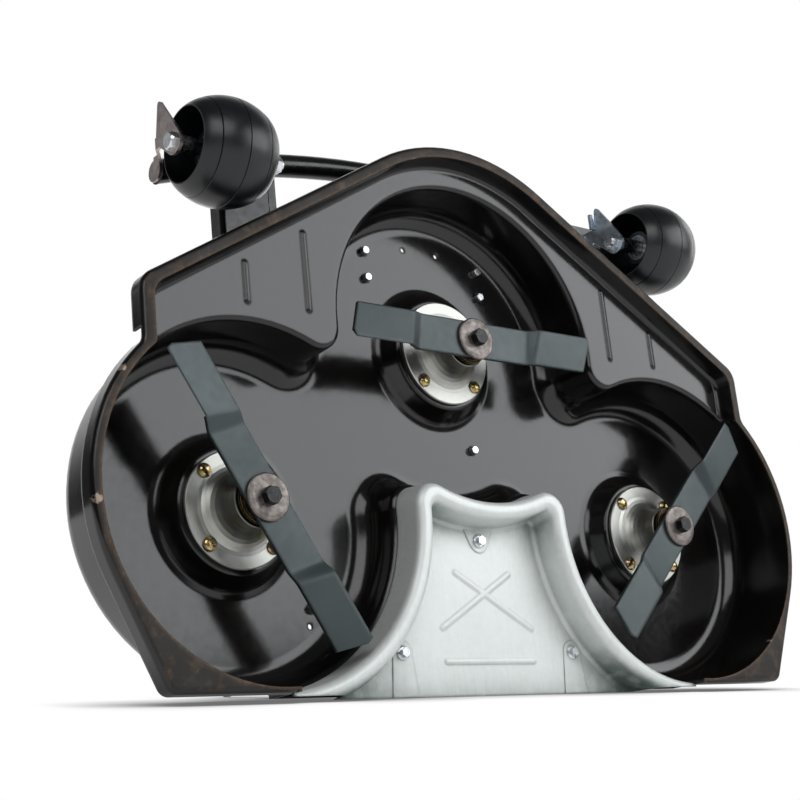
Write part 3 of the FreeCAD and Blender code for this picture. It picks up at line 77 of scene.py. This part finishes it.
class Finish:
    # the nodes of one finish, and the effects that several finishes share

    def __init__(self, owner):
        owner.use_nodes = True
        self.owner = owner
        self.tree = owner.node_tree
        self.tree.nodes.clear()

    def add(self, kind, links=None, out=0, stops=(), **settings):
        # one node: links maps an input to a socket or a constant, stops are a ramp's colours
        node = self.tree.nodes.new("ShaderNode" + kind)
        for key, value in settings.items():
            setattr(node, key, value)
        for key, value in (links or {}).items():
            if isinstance(value, bpy.types.NodeSocket):
                self.tree.links.new(value, node.inputs[key])
            else:
                node.inputs[key].default_value = value
        for i, (at, colour) in enumerate(stops):
            marks = node.color_ramp.elements
            stop = marks[i] if i < len(marks) else marks.new(at)
            stop.position = at
            stop.color = tone(colour)
        return node.outputs[out] if len(node.outputs) else None

    def mottle(self, size_mm, start, end, least=0.0, most=1.0, detail=3.0, rough=0.55,
               stretch=None):
        # soft patches about size_mm across: least to most where the noise runs from start to
        # end, and drawn out along an axis where stretch is small
        v = self.deck
        if stretch:
            v = self.add("Mapping", {"Vector": v, "Scale": stretch})
        cloud = self.add("TexNoise", pattern(v, size_mm, detail, rough))
        return self.add("MapRange", ramp(cloud, start, end, least, most),
                        interpolation_type="SMOOTHSTEP")

    def grain(self, size_mm, depth_mm, strength, detail=3.0, rough=0.55, under=None):
        # fine relief all over, on top of the normal that lies under it
        cloud = self.add("TexNoise", pattern(self.deck, size_mm, detail, rough))
        links = {"Height": cloud, "Distance": depth_mm * MM, "Strength": strength}
        if under is not None:
            links["Normal"] = under
        return self.add("Bump", links)

    def layer(self, under, over, *shares):
        # one colour over another, as thick as the product of the shares
        share = shares[0]
        for more in shares[1:]:
            share = self.add("Math", {0: share, 1: more}, operation="MULTIPLY")
        under, over = (tone(c) if isinstance(c, str) else c for c in (under, over))
        return self.add("Mix", {0: share, 6: under, 7: over}, out=2, data_type="RGBA")

    def corner(self, width_mm):
        # 0 on flats, 1 on outer and inner corners sharper than the width
        rolled = self.add("Bevel", {"Radius": width_mm * MM}, samples=CORNER_RAYS)
        flat = self.add("NewGeometry", out="Normal")
        same = self.add("VectorMath", {0: rolled, 1: flat}, out=1, operation="DOT_PRODUCT")
        return self.add("MapRange", ramp(same, FLAT, SHARP), interpolation_type="SMOOTHSTEP")

    def grime_and_shade(self, reach_mm):
        # 0 in the open, 1 deep in folds and crevices narrower than the reach, for painted shade and dirt
        open_sky = self.add("AmbientOcclusion", {"Distance": reach_mm * MM}, out="AO",
                            samples=CORNER_RAYS)
        return self.add("MapRange", ramp(open_sky, OPEN, SHUT), interpolation_type="SMOOTHSTEP")

    def spot(self, place, size_mm):
        # 1 inside one ragged spot, at a place across and along from the centre spindle, in mm
        x, z = place[0] * MM, CENTRE_Z + place[1] * MM
        flat = self.add("VectorMath", {0: self.deck, 1: (1, 0, 1)}, operation="MULTIPLY")
        away = self.add("VectorMath", {0: flat, 1: (x, 0, z)}, out=1, operation="DISTANCE")
        cloud = self.add("TexNoise", pattern(self.deck, RAG_MM, 3, 0.7))
        ragged = self.add("MapRange", ramp(cloud, 0.3, 0.7, -RAG, RAG),
                          interpolation_type="LINEAR")
        radius = size_mm * MM
        shift = self.add("Math", {0: ragged, 1: radius}, operation="MULTIPLY")
        away = self.add("Math", {0: away, 1: shift}, operation="ADD")
        return self.add("MapRange", ramp(away, radius, SPOT_CORE * radius),
                        interpolation_type="SMOOTHSTEP")

    def done(self, links):
        # the finished material, with what its surface is made of
        self.add("OutputMaterial", {0: self.add("BsdfPrincipled", links)})
        return self.owner


def new_finish(name):
    # a new material with the deck's own axes: y is depth from the cutting side, z runs to the
    # deck's front
    p = Finish(bpy.data.materials.new(name))
    here = p.add("TexCoord", out="Object")
    p.deck = p.add("Mapping", {"Vector": here, "Rotation": (LEAN, 0, 0)}, vector_type="POINT")
    return p


# Materials

def stove_enamel():
    # gloss black enamel on pressed sheet: deep black that mirrors softly through a slight
    # orange peel, the rim's face rubbed to brown-grey, and a few chips down to bare metal
    p = new_finish("stove_enamel")
    depth = p.add("SeparateXYZ", {0: p.deck}, out="Y")
    base = p.layer("0b0a0a", "100e0d", p.mottle(140, 0.3, 0.7, detail=2))
    # thin wiped film of dust, never quite even
    film = p.add("Math", {0: p.mottle(110, 0.40, 0.85, detail=4), 1: 0.022}, operation="MULTIPLY")
    base = p.layer(base, "8a8078", film)
    # the face is worn matte brown, palest on its narrow bands and round its broad corners
    face = p.add("MapRange", ramp(depth, RIM_FACE + 1.4 * MM, RIM_FACE + 0.2 * MM),
                 interpolation_type="SMOOTHSTEP")
    wear = p.mottle(34, 0.25, 0.7, 0.80, 1.0, detail=4, rough=0.65)
    rub = p.add("Math", {0: face, 1: wear}, operation="MULTIPLY")
    border = p.add("MapRange", ramp(p.corner(7.0), 0.0, 0.5), interpolation_type="SMOOTHSTEP")
    streak = p.add("Math", {0: p.mottle(26, 0.48, 0.66, rough=0.6), 1: 0.5},
                   operation="MULTIPLY")
    pale = p.add("Math", {0: border, 1: streak}, operation="MAXIMUM")
    speckled = p.layer("4a3523", "7e6247", p.mottle(5, 0.35, 0.75, detail=4, rough=0.7))
    base = p.layer(base, p.layer("19120b", speckled, pale), rub)
    # chips, only near the face and mostly on its corners
    near = p.add("MapRange", ramp(depth, RIM_FACE + 10 * MM, RIM_FACE + 1 * MM),
                 interpolation_type="SMOOTHSTEP")
    nick = p.add("Math", {0: p.corner(2.0), 1: p.mottle(15, 0.665, 0.70, rough=0.7)},
                 operation="MULTIPLY")
    for *place, size in CHIPS:
        nick = p.add("Math", {0: nick, 1: p.spot(place, size)}, operation="MAXIMUM")
    chip = p.add("Math", {0: nick, 1: near}, operation="MULTIPLY")
    base = p.layer(base, "b3a08e", chip)
    for *place, size in SCARS:
        base = p.layer(base, "050505", p.spot(place, size))
    # gloss that the film and the wear take away
    dusty = p.add("Math", {0: film, 1: 1.5}, operation="MULTIPLY")
    rubbed = p.add("Math", {0: rub, 1: 0.50}, operation="MULTIPLY")
    rough = p.add("Math", {0: p.mottle(9, 0.3, 0.75, 0.11, 0.16, detail=4), 1: dusty},
                  operation="ADD")
    rough = p.add("Math", {0: rough, 1: rubbed}, operation="ADD")
    # swirl marks from wiping over an orange-peel skin, and corners rolled by the press
    rolled = p.add("Bevel", {"Radius": 4.0 * MM}, samples=CORNER_RAYS)
    peel = p.grain(6.0, 0.05, 0.20, detail=2, rough=0.5, under=rolled)
    drawn = p.add("Mapping", {"Vector": p.deck, "Scale": (1.0, 1.0, 0.06)})
    swirl = p.add("TexNoise", pattern(drawn, 3.0, 2, 0.5))
    normal = p.add("Bump", {"Height": swirl, "Distance": 0.02 * MM, "Strength": 0.10,
                            "Normal": peel})
    bare = p.add("Math", {0: chip, 1: 0.6}, operation="MULTIPLY")
    return p.done({"Base Color": base, "Roughness": rough, "Metallic": bare, "Normal": normal})


def powder_coat():
    # gloss black powder coat on the carrier: deep black with a fine grain and rubbed corners
    p = new_finish("powder_coat")
    base = p.layer("090909", "101010", p.mottle(50, 0.3, 0.7))
    worn = p.add("Math", {0: p.corner(1.2), 1: p.mottle(16, 0.5, 0.62, detail=4, rough=0.7)},
                 operation="MULTIPLY")
    base = p.layer(base, "6f6860", worn)
    bare = p.add("Math", {0: worn, 1: 0.7}, operation="MULTIPLY")
    return p.done({"Base Color": base, "Roughness": p.mottle(12, 0.3, 0.7, 0.18, 0.28, detail=4),
                   "Metallic": bare, "Normal": p.grain(1.6, 0.05, 0.5, detail=2)})


def hot_galvanised():
    # galvanised sheet: evenly pale and almost matte, with faint crystals and drawing lines, and a
    # green-grey staining in the folds, widened into painted shade on walls turned from the light
    p = new_finish("hot_galvanised")
    spangle = p.add("TexVoronoi", {"Vector": p.deck, "Scale": 1.0 / (7 * MM), "Randomness": 1.0},
                    out="Color", feature="F1")
    crystal = p.add("SeparateColor", {0: spangle})
    base = p.layer("dde2df", "e3e7e5", crystal)
    base = p.layer(base, "e8ebe9", p.mottle(60, 0.35, 0.7, detail=4, rough=0.6), 0.35)
    drawn = p.add("Mapping", {"Vector": p.deck, "Scale": (1.0, 1.0, 0.04)})
    line = p.add("TexNoise", pattern(drawn, 2.2, 3, 0.6))
    lines = p.add("MapRange", ramp(line, 0.42, 0.72), interpolation_type="SMOOTHSTEP")
    base = p.layer(base, "b3bdb8", lines, 0.12)
    # painted shade: the staining in the folds reaches far enough to darken whole walls facing away from the
    # light
    stain_and_shade = p.add("Math", {0: p.grime_and_shade(60), 1: p.mottle(18, 0.2, 0.6, 0.6, 1.0, detail=4)},
                  operation="MULTIPLY")
    base = p.layer(base, "50625a", stain_and_shade, 0.95)
    rub = p.add("Math", {0: p.corner(2.5), 1: p.mottle(20, 0.45, 0.7, detail=4, rough=0.7)},
                operation="MULTIPLY")
    base = p.layer(base, "eff1f0", rub, 0.4)
    facet = p.add("MapRange", ramp(crystal, 0.0, 1.0, 0.45, 0.50),
                  interpolation_type="SMOOTHSTEP")
    dulled = p.add("Math", {0: stain_and_shade, 1: 0.15}, operation="MULTIPLY")
    rough = p.add("Math", {0: facet, 1: dulled}, operation="ADD")
    rolled = p.add("Bevel", {"Radius": 4.0 * MM}, samples=CORNER_RAYS)
    normal = p.add("Bump", {"Height": line, "Distance": 0.04 * MM, "Strength": 0.15,
                            "Normal": p.grain(2.2, 0.05, 0.20, under=rolled)})
    return p.done({"Base Color": base, "Roughness": rough, "Metallic": 0.30, "Normal": normal})


def handling_scratches(p):
    # fine scratches along the plate: 1 on the few that show, and the normal of them all
    drawn = p.add("Mapping", {"Vector": p.deck, "Scale": (1.0, 0.05, 1.0)})
    scratch = p.add("TexNoise", pattern(drawn, 1.1, 2, 0.5))
    shown = p.add("MapRange", ramp(scratch, 0.66, 0.72), interpolation_type="SMOOTHSTEP")
    normal = p.add("Bump", {"Height": scratch, "Distance": 0.03 * MM, "Strength": 0.3})
    return shown, normal


def bright_zinc():
    # blue-white zinc plate on stampings and fasteners: bright with fine handling scratches
    p = new_finish("bright_zinc")
    shown, normal = handling_scratches(p)
    base = p.layer("c2c5c9", "e2e5e8", p.mottle(14, 0.3, 0.7, detail=4))
    base = p.layer(base, "eef1f3", shown)
    base = p.layer(base, "6c6a66", p.mottle(3.0, 0.66, 0.74, rough=0.7), 0.5)
    return p.done({"Base Color": base, "Roughness": p.mottle(6, 0.3, 0.7, 0.22, 0.36),
                   "Metallic": 1.0, "Normal": normal})


def plated_stamping(name, dark, light, flecks):
    # punched plate, plated and handled: tone painted as a dim reflection, pale flecks, rubbed corners
    p = new_finish(name)
    shown, normal = handling_scratches(p)
    base = p.layer(dark, light, p.mottle(13, 0.3, 0.7, detail=4, rough=0.6))
    base = p.layer(base, "e4e6e8", p.mottle(2.4, 0.60, 0.70, detail=4, rough=0.75), flecks)
    base = p.layer(base, "c9cacb", shown, 0.5)
    base = p.layer(base, "d2d3d4", p.corner(0.9), 0.5)
    return p.done({"Base Color": base, "Roughness": p.mottle(6, 0.3, 0.7, 0.26, 0.42),
                   "Metallic": 1.0, "Normal": normal})


def yellow_zinc():
    # yellow-passivated zinc on the domed bolts: pale gold drifting to green and pink
    p = new_finish("yellow_zinc")
    drift = p.add("TexNoise", pattern(p.deck, 6, 2, 0.5))
    hue = p.add("ValToRGB", {0: drift}, stops=[
        (0.30, "7f7f4e"), (0.44, "a9935a"), (0.56, "c0a884"), (0.68, "a98a7c")])
    # darker deep in the crevices round the bolts
    base = p.layer(hue, "33291a", p.grime_and_shade(4), 0.7)
    base = p.layer(base, "e0d2ac", p.corner(0.7), 0.5)
    return p.done({"Base Color": base, "Roughness": p.mottle(3, 0.3, 0.7, 0.16, 0.28),
                   "Metallic": 1.0, "Normal": p.grain(1.4, 0.02, 0.3, detail=2)})


def shade_dark_collar():
    # zinc-plated collar painted near black as the shade in its gap, gold only on its turned edges
    p = new_finish("shade_dark_collar")
    base = p.layer("17130f", "2b2218", p.mottle(8, 0.3, 0.7))
    base = p.layer(base, "c9ab66", p.corner(0.8), 0.9)
    return p.done({"Base Color": base, "Roughness": p.mottle(4, 0.3, 0.7, 0.30, 0.46),
                   "Metallic": 0.8, "Normal": p.grain(1.4, 0.02, 0.3, detail=2)})


def turned_casting(name, cx, cz):
    # light alloy casting faced on a lathe: soft rings round the spindle and cloudy handling marks
    p = new_finish(name)
    seat = p.add("Mapping", {"Vector": p.deck, "Location": (-cx, 0, -cz)})
    x, z = (p.add("SeparateXYZ", {0: seat}, out=axis) for axis in ("X", "Z"))
    xx, zz = (p.add("Math", {0: v, 1: v}, operation="MULTIPLY") for v in (x, z))
    square = p.add("Math", {0: xx, 1: zz}, operation="ADD")
    radius = p.add("Math", {0: square}, operation="SQRT")
    turns = p.add("Math", {0: radius, 1: 1.0 / (0.9 * MM)}, operation="MULTIPLY")
    ring = p.add("TexNoise", {"W": turns, "Detail": 2.0}, noise_dimensions="1D")
    rings = p.add("MapRange", ramp(ring, 0.4, 0.7), interpolation_type="SMOOTHSTEP")
    base = p.layer("a8a9a3", "c2c2bd", p.mottle(30, 0.3, 0.72))
    base = p.layer(base, "cfcfcb", rings, 0.14)
    # painted dark reflection: the casting darkens towards the spindle, where it faces the dark, and in its
    # hollows
    hub_shade = p.add("MapRange", ramp(radius, 50 * MM, 24 * MM), interpolation_type="SMOOTHSTEP")
    base = p.layer(base, "3c3a37", hub_shade, 0.75)
    base = p.layer(base, "3b3833", p.grime_and_shade(10), 0.7)
    turned = p.add("Bump", {"Height": ring, "Distance": 0.03 * MM, "Strength": 0.25})
    return p.done({"Base Color": base, "Roughness": p.mottle(30, 0.3, 0.7, 0.40, 0.48),
                   "Metallic": 1.0, "Normal": p.grain(2.5, 0.04, 0.25, under=turned)})


def coated_blade():
    # thin blue-grey coating on rolled bar: matte and even, with faint scuffs and corners rubbed
    # pale
    p = new_finish("coated_blade")
    base = p.layer("374042", "434d4f", p.mottle(90, 0.3, 0.7, rough=0.5))
    scuff = p.mottle(5, 0.62, 0.78, detail=4, rough=0.7, stretch=(1.0, 1.0, 0.25))
    base = p.layer(base, "6d7877", scuff, 0.10)
    worn = p.add("Math", {0: p.corner(1.0), 1: p.mottle(9, 0.42, 0.6, rough=0.7)},
                 operation="MULTIPLY")
    base = p.layer(base, "868f8d", worn, 0.5)
    bare = p.add("Math", {0: worn, 1: 0.4}, operation="MULTIPLY")
    bare = p.add("Math", {0: 0.30, 1: bare}, operation="ADD")
    rolled = p.add("Bevel", {"Radius": 3.5 * MM}, samples=CORNER_RAYS)
    return p.done({"Base Color": base, "Roughness": p.mottle(10, 0.3, 0.7, 0.38, 0.44, detail=4),
                   "Metallic": bare, "Normal": p.grain(1.8, 0.05, 0.12, under=rolled)})


def handled_washer():
    # thick plain washer: warm bare steel with smudges and a rust-tinted rim
    p = new_finish("handled_washer")
    base = p.layer("5c5653", "867f7b", p.mottle(11, 0.3, 0.7, detail=5, rough=0.65))
    rust = p.add("Math", {0: p.corner(1.6),
                          1: p.mottle(6, 0.6, 0.75, 0.0, 0.4, detail=4, rough=0.7)},
                 operation="MAXIMUM")
    base = p.layer(base, "3f2f27", rust, 0.7)
    return p.done({"Base Color": base, "Roughness": p.mottle(5, 0.3, 0.7, 0.36, 0.56, detail=4),
                   "Metallic": 0.85, "Normal": p.grain(1.5, 0.05, 0.4)})


def black_oxide():
    # oiled black oxide on the blade bolts: dark, slightly blue, with lighter rubbed corners
    p = new_finish("black_oxide")
    base = p.layer("0e0e10", "1c1c1e", p.mottle(6, 0.3, 0.7))
    base = p.layer(base, "55524f", p.corner(0.8), 0.6)
    return p.done({"Base Color": base, "Roughness": p.mottle(3, 0.3, 0.7, 0.24, 0.42),
                   "Metallic": 0.5, "Normal": p.grain(1.2, 0.03, 0.3, detail=2)})


def turned_steel(name, dark, light):
    # plain turned and ground steel of shafts, bearings and pulleys: grey with faint machining
    # rings, and darker in its corners
    p = new_finish(name)
    base = p.layer(dark, light, p.mottle(16, 0.3, 0.7, detail=4))
    base = p.layer(base, "2a2723", p.grime_and_shade(8), 0.6)
    drawn = p.add("Mapping", {"Vector": p.deck, "Scale": (0.04, 1.0, 0.04)})
    lay = p.add("TexNoise", pattern(drawn, 1.0, 2, 0.5))
    normal = p.add("Bump", {"Height": lay, "Distance": 0.03 * MM, "Strength": 0.3})
    return p.done({"Base Color": base, "Roughness": p.mottle(6, 0.3, 0.7, 0.22, 0.40, detail=4),
                   "Metallic": 1.0, "Normal": normal})


def belt_cloth():
    # cloth-wrapped rubber belt: dull black with a coarse-drawn weave, unevenly dusted
    p = new_finish("belt_cloth")
    weave = p.add("TexChecker", {"Vector": p.deck, "Scale": 1.0 / (1.2 * MM)}, out="Fac")
    base = p.layer("101010", "242322", p.mottle(18, 0.3, 0.7, detail=4))
    normal = p.add("Bump", {"Height": weave, "Distance": 0.05 * MM, "Strength": 0.3})
    return p.done({"Base Color": base, "Roughness": p.mottle(8, 0.3, 0.7, 0.68, 0.85),
                   "Normal": normal})


def moulded_tread():
    # satin polythene of the wheels: blue-black, faintly rubbed in short bands, fine mould grain
    p = new_finish("moulded_tread")
    base = p.layer("080b0e", "0e1318", p.mottle(40, 0.3, 0.7, detail=4))
    rub = p.mottle(9, 0.58, 0.8, detail=5, rough=0.7, stretch=(0.3, 1, 1))
    base = p.layer(base, "50565b", rub, 0.10)
    return p.done({"Base Color": base, "Roughness": p.mottle(14, 0.3, 0.7, 0.30, 0.37, detail=4),
                   "Normal": p.grain(1.3, 0.03, 0.25, detail=2)})


LOOKS = {
    "shell_paint": stove_enamel(),
    "carrier_paint": powder_coat(),
    "galvanised": hot_galvanised(),
    "zinc": bright_zinc(),
    "yellow_zinc": yellow_zinc(),
    "blade_steel": coated_blade(),
    "washer_steel": handled_washer(),
    "black_oxide": black_oxide(),
    "bearing_steel": turned_steel("ground_steel", "77787a", "a6a7a8"),
    "pulley_steel": turned_steel("pulley_steel", "66686a", "8f9193"),
    "belt_rubber": belt_cloth(),
    "wheel_plastic": moulded_tread(),
}
COLLAR = shade_dark_collar()
# one plated metal in two tones, painted as the warm and the blue-grey reflections on each side
YOKES = {"left": plated_stamping("plated_stamping_left", "9a918e", "b9b0ac", 0.15),
         "right": plated_stamping("plated_stamping_right", "8f98a3", "b4bdc7", 0.55)}

slot_of = {s["node"]: s["material_slot"] for s in frame["record"]["subparts"]}
for name, obj in nodes.items():
    side = name.rsplit("_", 1)[1]
    if slot_of[name] == "cast_alloy":
        look = turned_casting("turned_casting_" + side, *spindle_at(side))
    elif name.startswith("yoke"):
        look = YOKES[side]
    elif name.startswith("blade_collar"):
        look = COLLAR
    else:
        look = LOOKS[slot_of[name]]
    obj.data.materials.clear()
    obj.data.materials.append(look)


# Studio: a white floor card and backdrop, and soft boxes with dark gaps between them in front

SHADOW_REACH = 0.11
SHADOW_RAYS = 12
SHADOW_SKY = (0.28, 0.97)  # share of open sky over the floor, from full shade to none
FLOOR_SIZE = 30.0
FLOOR_DROP = 0.4 * MM  # keeps the card just clear of the deck's feet
BACKDROP_WAY = (0.62, 0.78, 0.0)  # from the deck to the backdrop behind it
BACKDROP_EDGE = (0.50, 0.72)  # the backdrop fades in between these nearnesses to that way
ROOM = {"Color": (0.93, 0.95, 1.0, 1), "Strength": 0.10}
WHITE = {"Color": (1, 1, 1, 1), "Strength": 1.0}


def white_card():
    # matte white card: white also in gloss and metal, with a painted shadow under what stands on it
    p = new_finish("white_card")
    base = p.layer("f4f4f4", "f6f6f6", p.mottle(300, 0.3, 0.7, detail=2))
    open_sky = p.add("AmbientOcclusion", {"Distance": SHADOW_REACH}, out="AO",
                     samples=SHADOW_RAYS)
    lit = p.add("MapRange", ramp(open_sky, *SHADOW_SKY), interpolation_type="LINEAR")
    shadowed_glow = p.add("Emission", {"Color": p.layer("6f6f70", "ffffff", lit), "Strength": 1.0})
    card = p.add("BsdfDiffuse", {"Color": base})
    seen = p.add("Math", {0: p.add("LightPath", out="Is Camera Ray"),
                          1: p.add("LightPath", out="Is Glossy Ray")}, operation="MAXIMUM")
    p.add("OutputMaterial", {0: p.add("MixShader", {0: seen, 1: card, 2: shadowed_glow})})
    return p.owner


bpy.ops.mesh.primitive_plane_add(size=FLOOR_SIZE, location=(0, 0, -FLOOR_DROP))
floor = bpy.context.object
floor.name = "floor"
floor.data.materials.append(white_card())

scene = bpy.context.scene
scene.world = bpy.data.worlds.new("studio")
w = Finish(scene.world)
# gloss and metal mirror the white backdrop that hangs behind the deck
across = w.add("VectorMath", {0: w.add("TexCoord", out="Generated"), 1: BACKDROP_WAY}, out=1,
               operation="DOT_PRODUCT")
behind = w.add("MapRange", ramp(across, *BACKDROP_EDGE), interpolation_type="SMOOTHSTEP")
mirrored = w.add("Math", {0: behind, 1: w.add("LightPath", out="Is Glossy Ray")},
                 operation="MULTIPLY")
white = w.add("Math", {0: mirrored, 1: w.add("LightPath", out="Is Camera Ray")},
              operation="MAXIMUM")
w.add("OutputWorld", {0: w.add("MixShader", {0: white, 1: w.add("Background", ROOM),
                                             2: w.add("Background", WHITE)})})

# place, aim, width and height in metres, power in watts and colour: one big box fills what the
# flat sheet mirrors, and the rear boxes only light the back and the top
SOFT_BOXES = {
    "wall": ((1.83, -2.10, 1.62), (0, 0, 0.35), 2.5, 1.6, 47, (0.96, 0.985, 1.0)),
    "key": ((-1.6, -2.6, 2.6), (0, 0, 0.3), 2.8, 1.9, 48, (1, 1, 1)),
    "side": ((3.0, 0.1, 1.5), (0, 0, 0.3), 1.0, 1.8, 12, (1, 1, 1)),
    "rear_left": ((-1.8, 2.05, 1.45), (-0.2, 0, 0.5), 0.9, 0.9, 1.1, (1, 1, 1)),
    "rear": ((1.83, 2.33, 0.95), (0, 0, 0.4), 3.0, 2.2, 24, (1, 1, 1)),
}
for name, (place, aim, wide, high, watts, colour) in SOFT_BOXES.items():
    light = bpy.data.lights.new(name, "AREA")
    light.shape = "RECTANGLE"
    light.size = wide
    light.size_y = high
    light.energy = watts
    light.color = colour
    box = bpy.data.objects.new(name, light)
    scene.collection.objects.link(box)
    box.location = place
    box.rotation_euler = (Vector(aim) - Vector(place)).to_track_quat("-Z", "Y").to_euler()
    box.visible_camera = False


# Camera at the photograph's angle, with its axes and its place in the row frame

SENSOR_MM = 36.0
LENS_MM = 68.593
VIEW_RIGHT = Vector((0.787513, -0.616298, 0.000212))
VIEW_AHEAD = Vector((0.608527, 0.777638, 0.158029))
EYE = Vector((-1.211942, -1.444190, 0.059900))

camera = bpy.data.objects.new("camera", bpy.data.cameras.new("camera"))
scene.collection.objects.link(camera)
scene.camera = camera
camera.data.sensor_width = SENSOR_MM
camera.data.lens = LENS_MM
turn = Matrix((VIEW_RIGHT, VIEW_RIGHT.cross(VIEW_AHEAD), -VIEW_AHEAD)).transposed().to_4x4()
turn.translation = EYE
camera.matrix_world = turn

scene.view_settings.view_transform = "Standard"
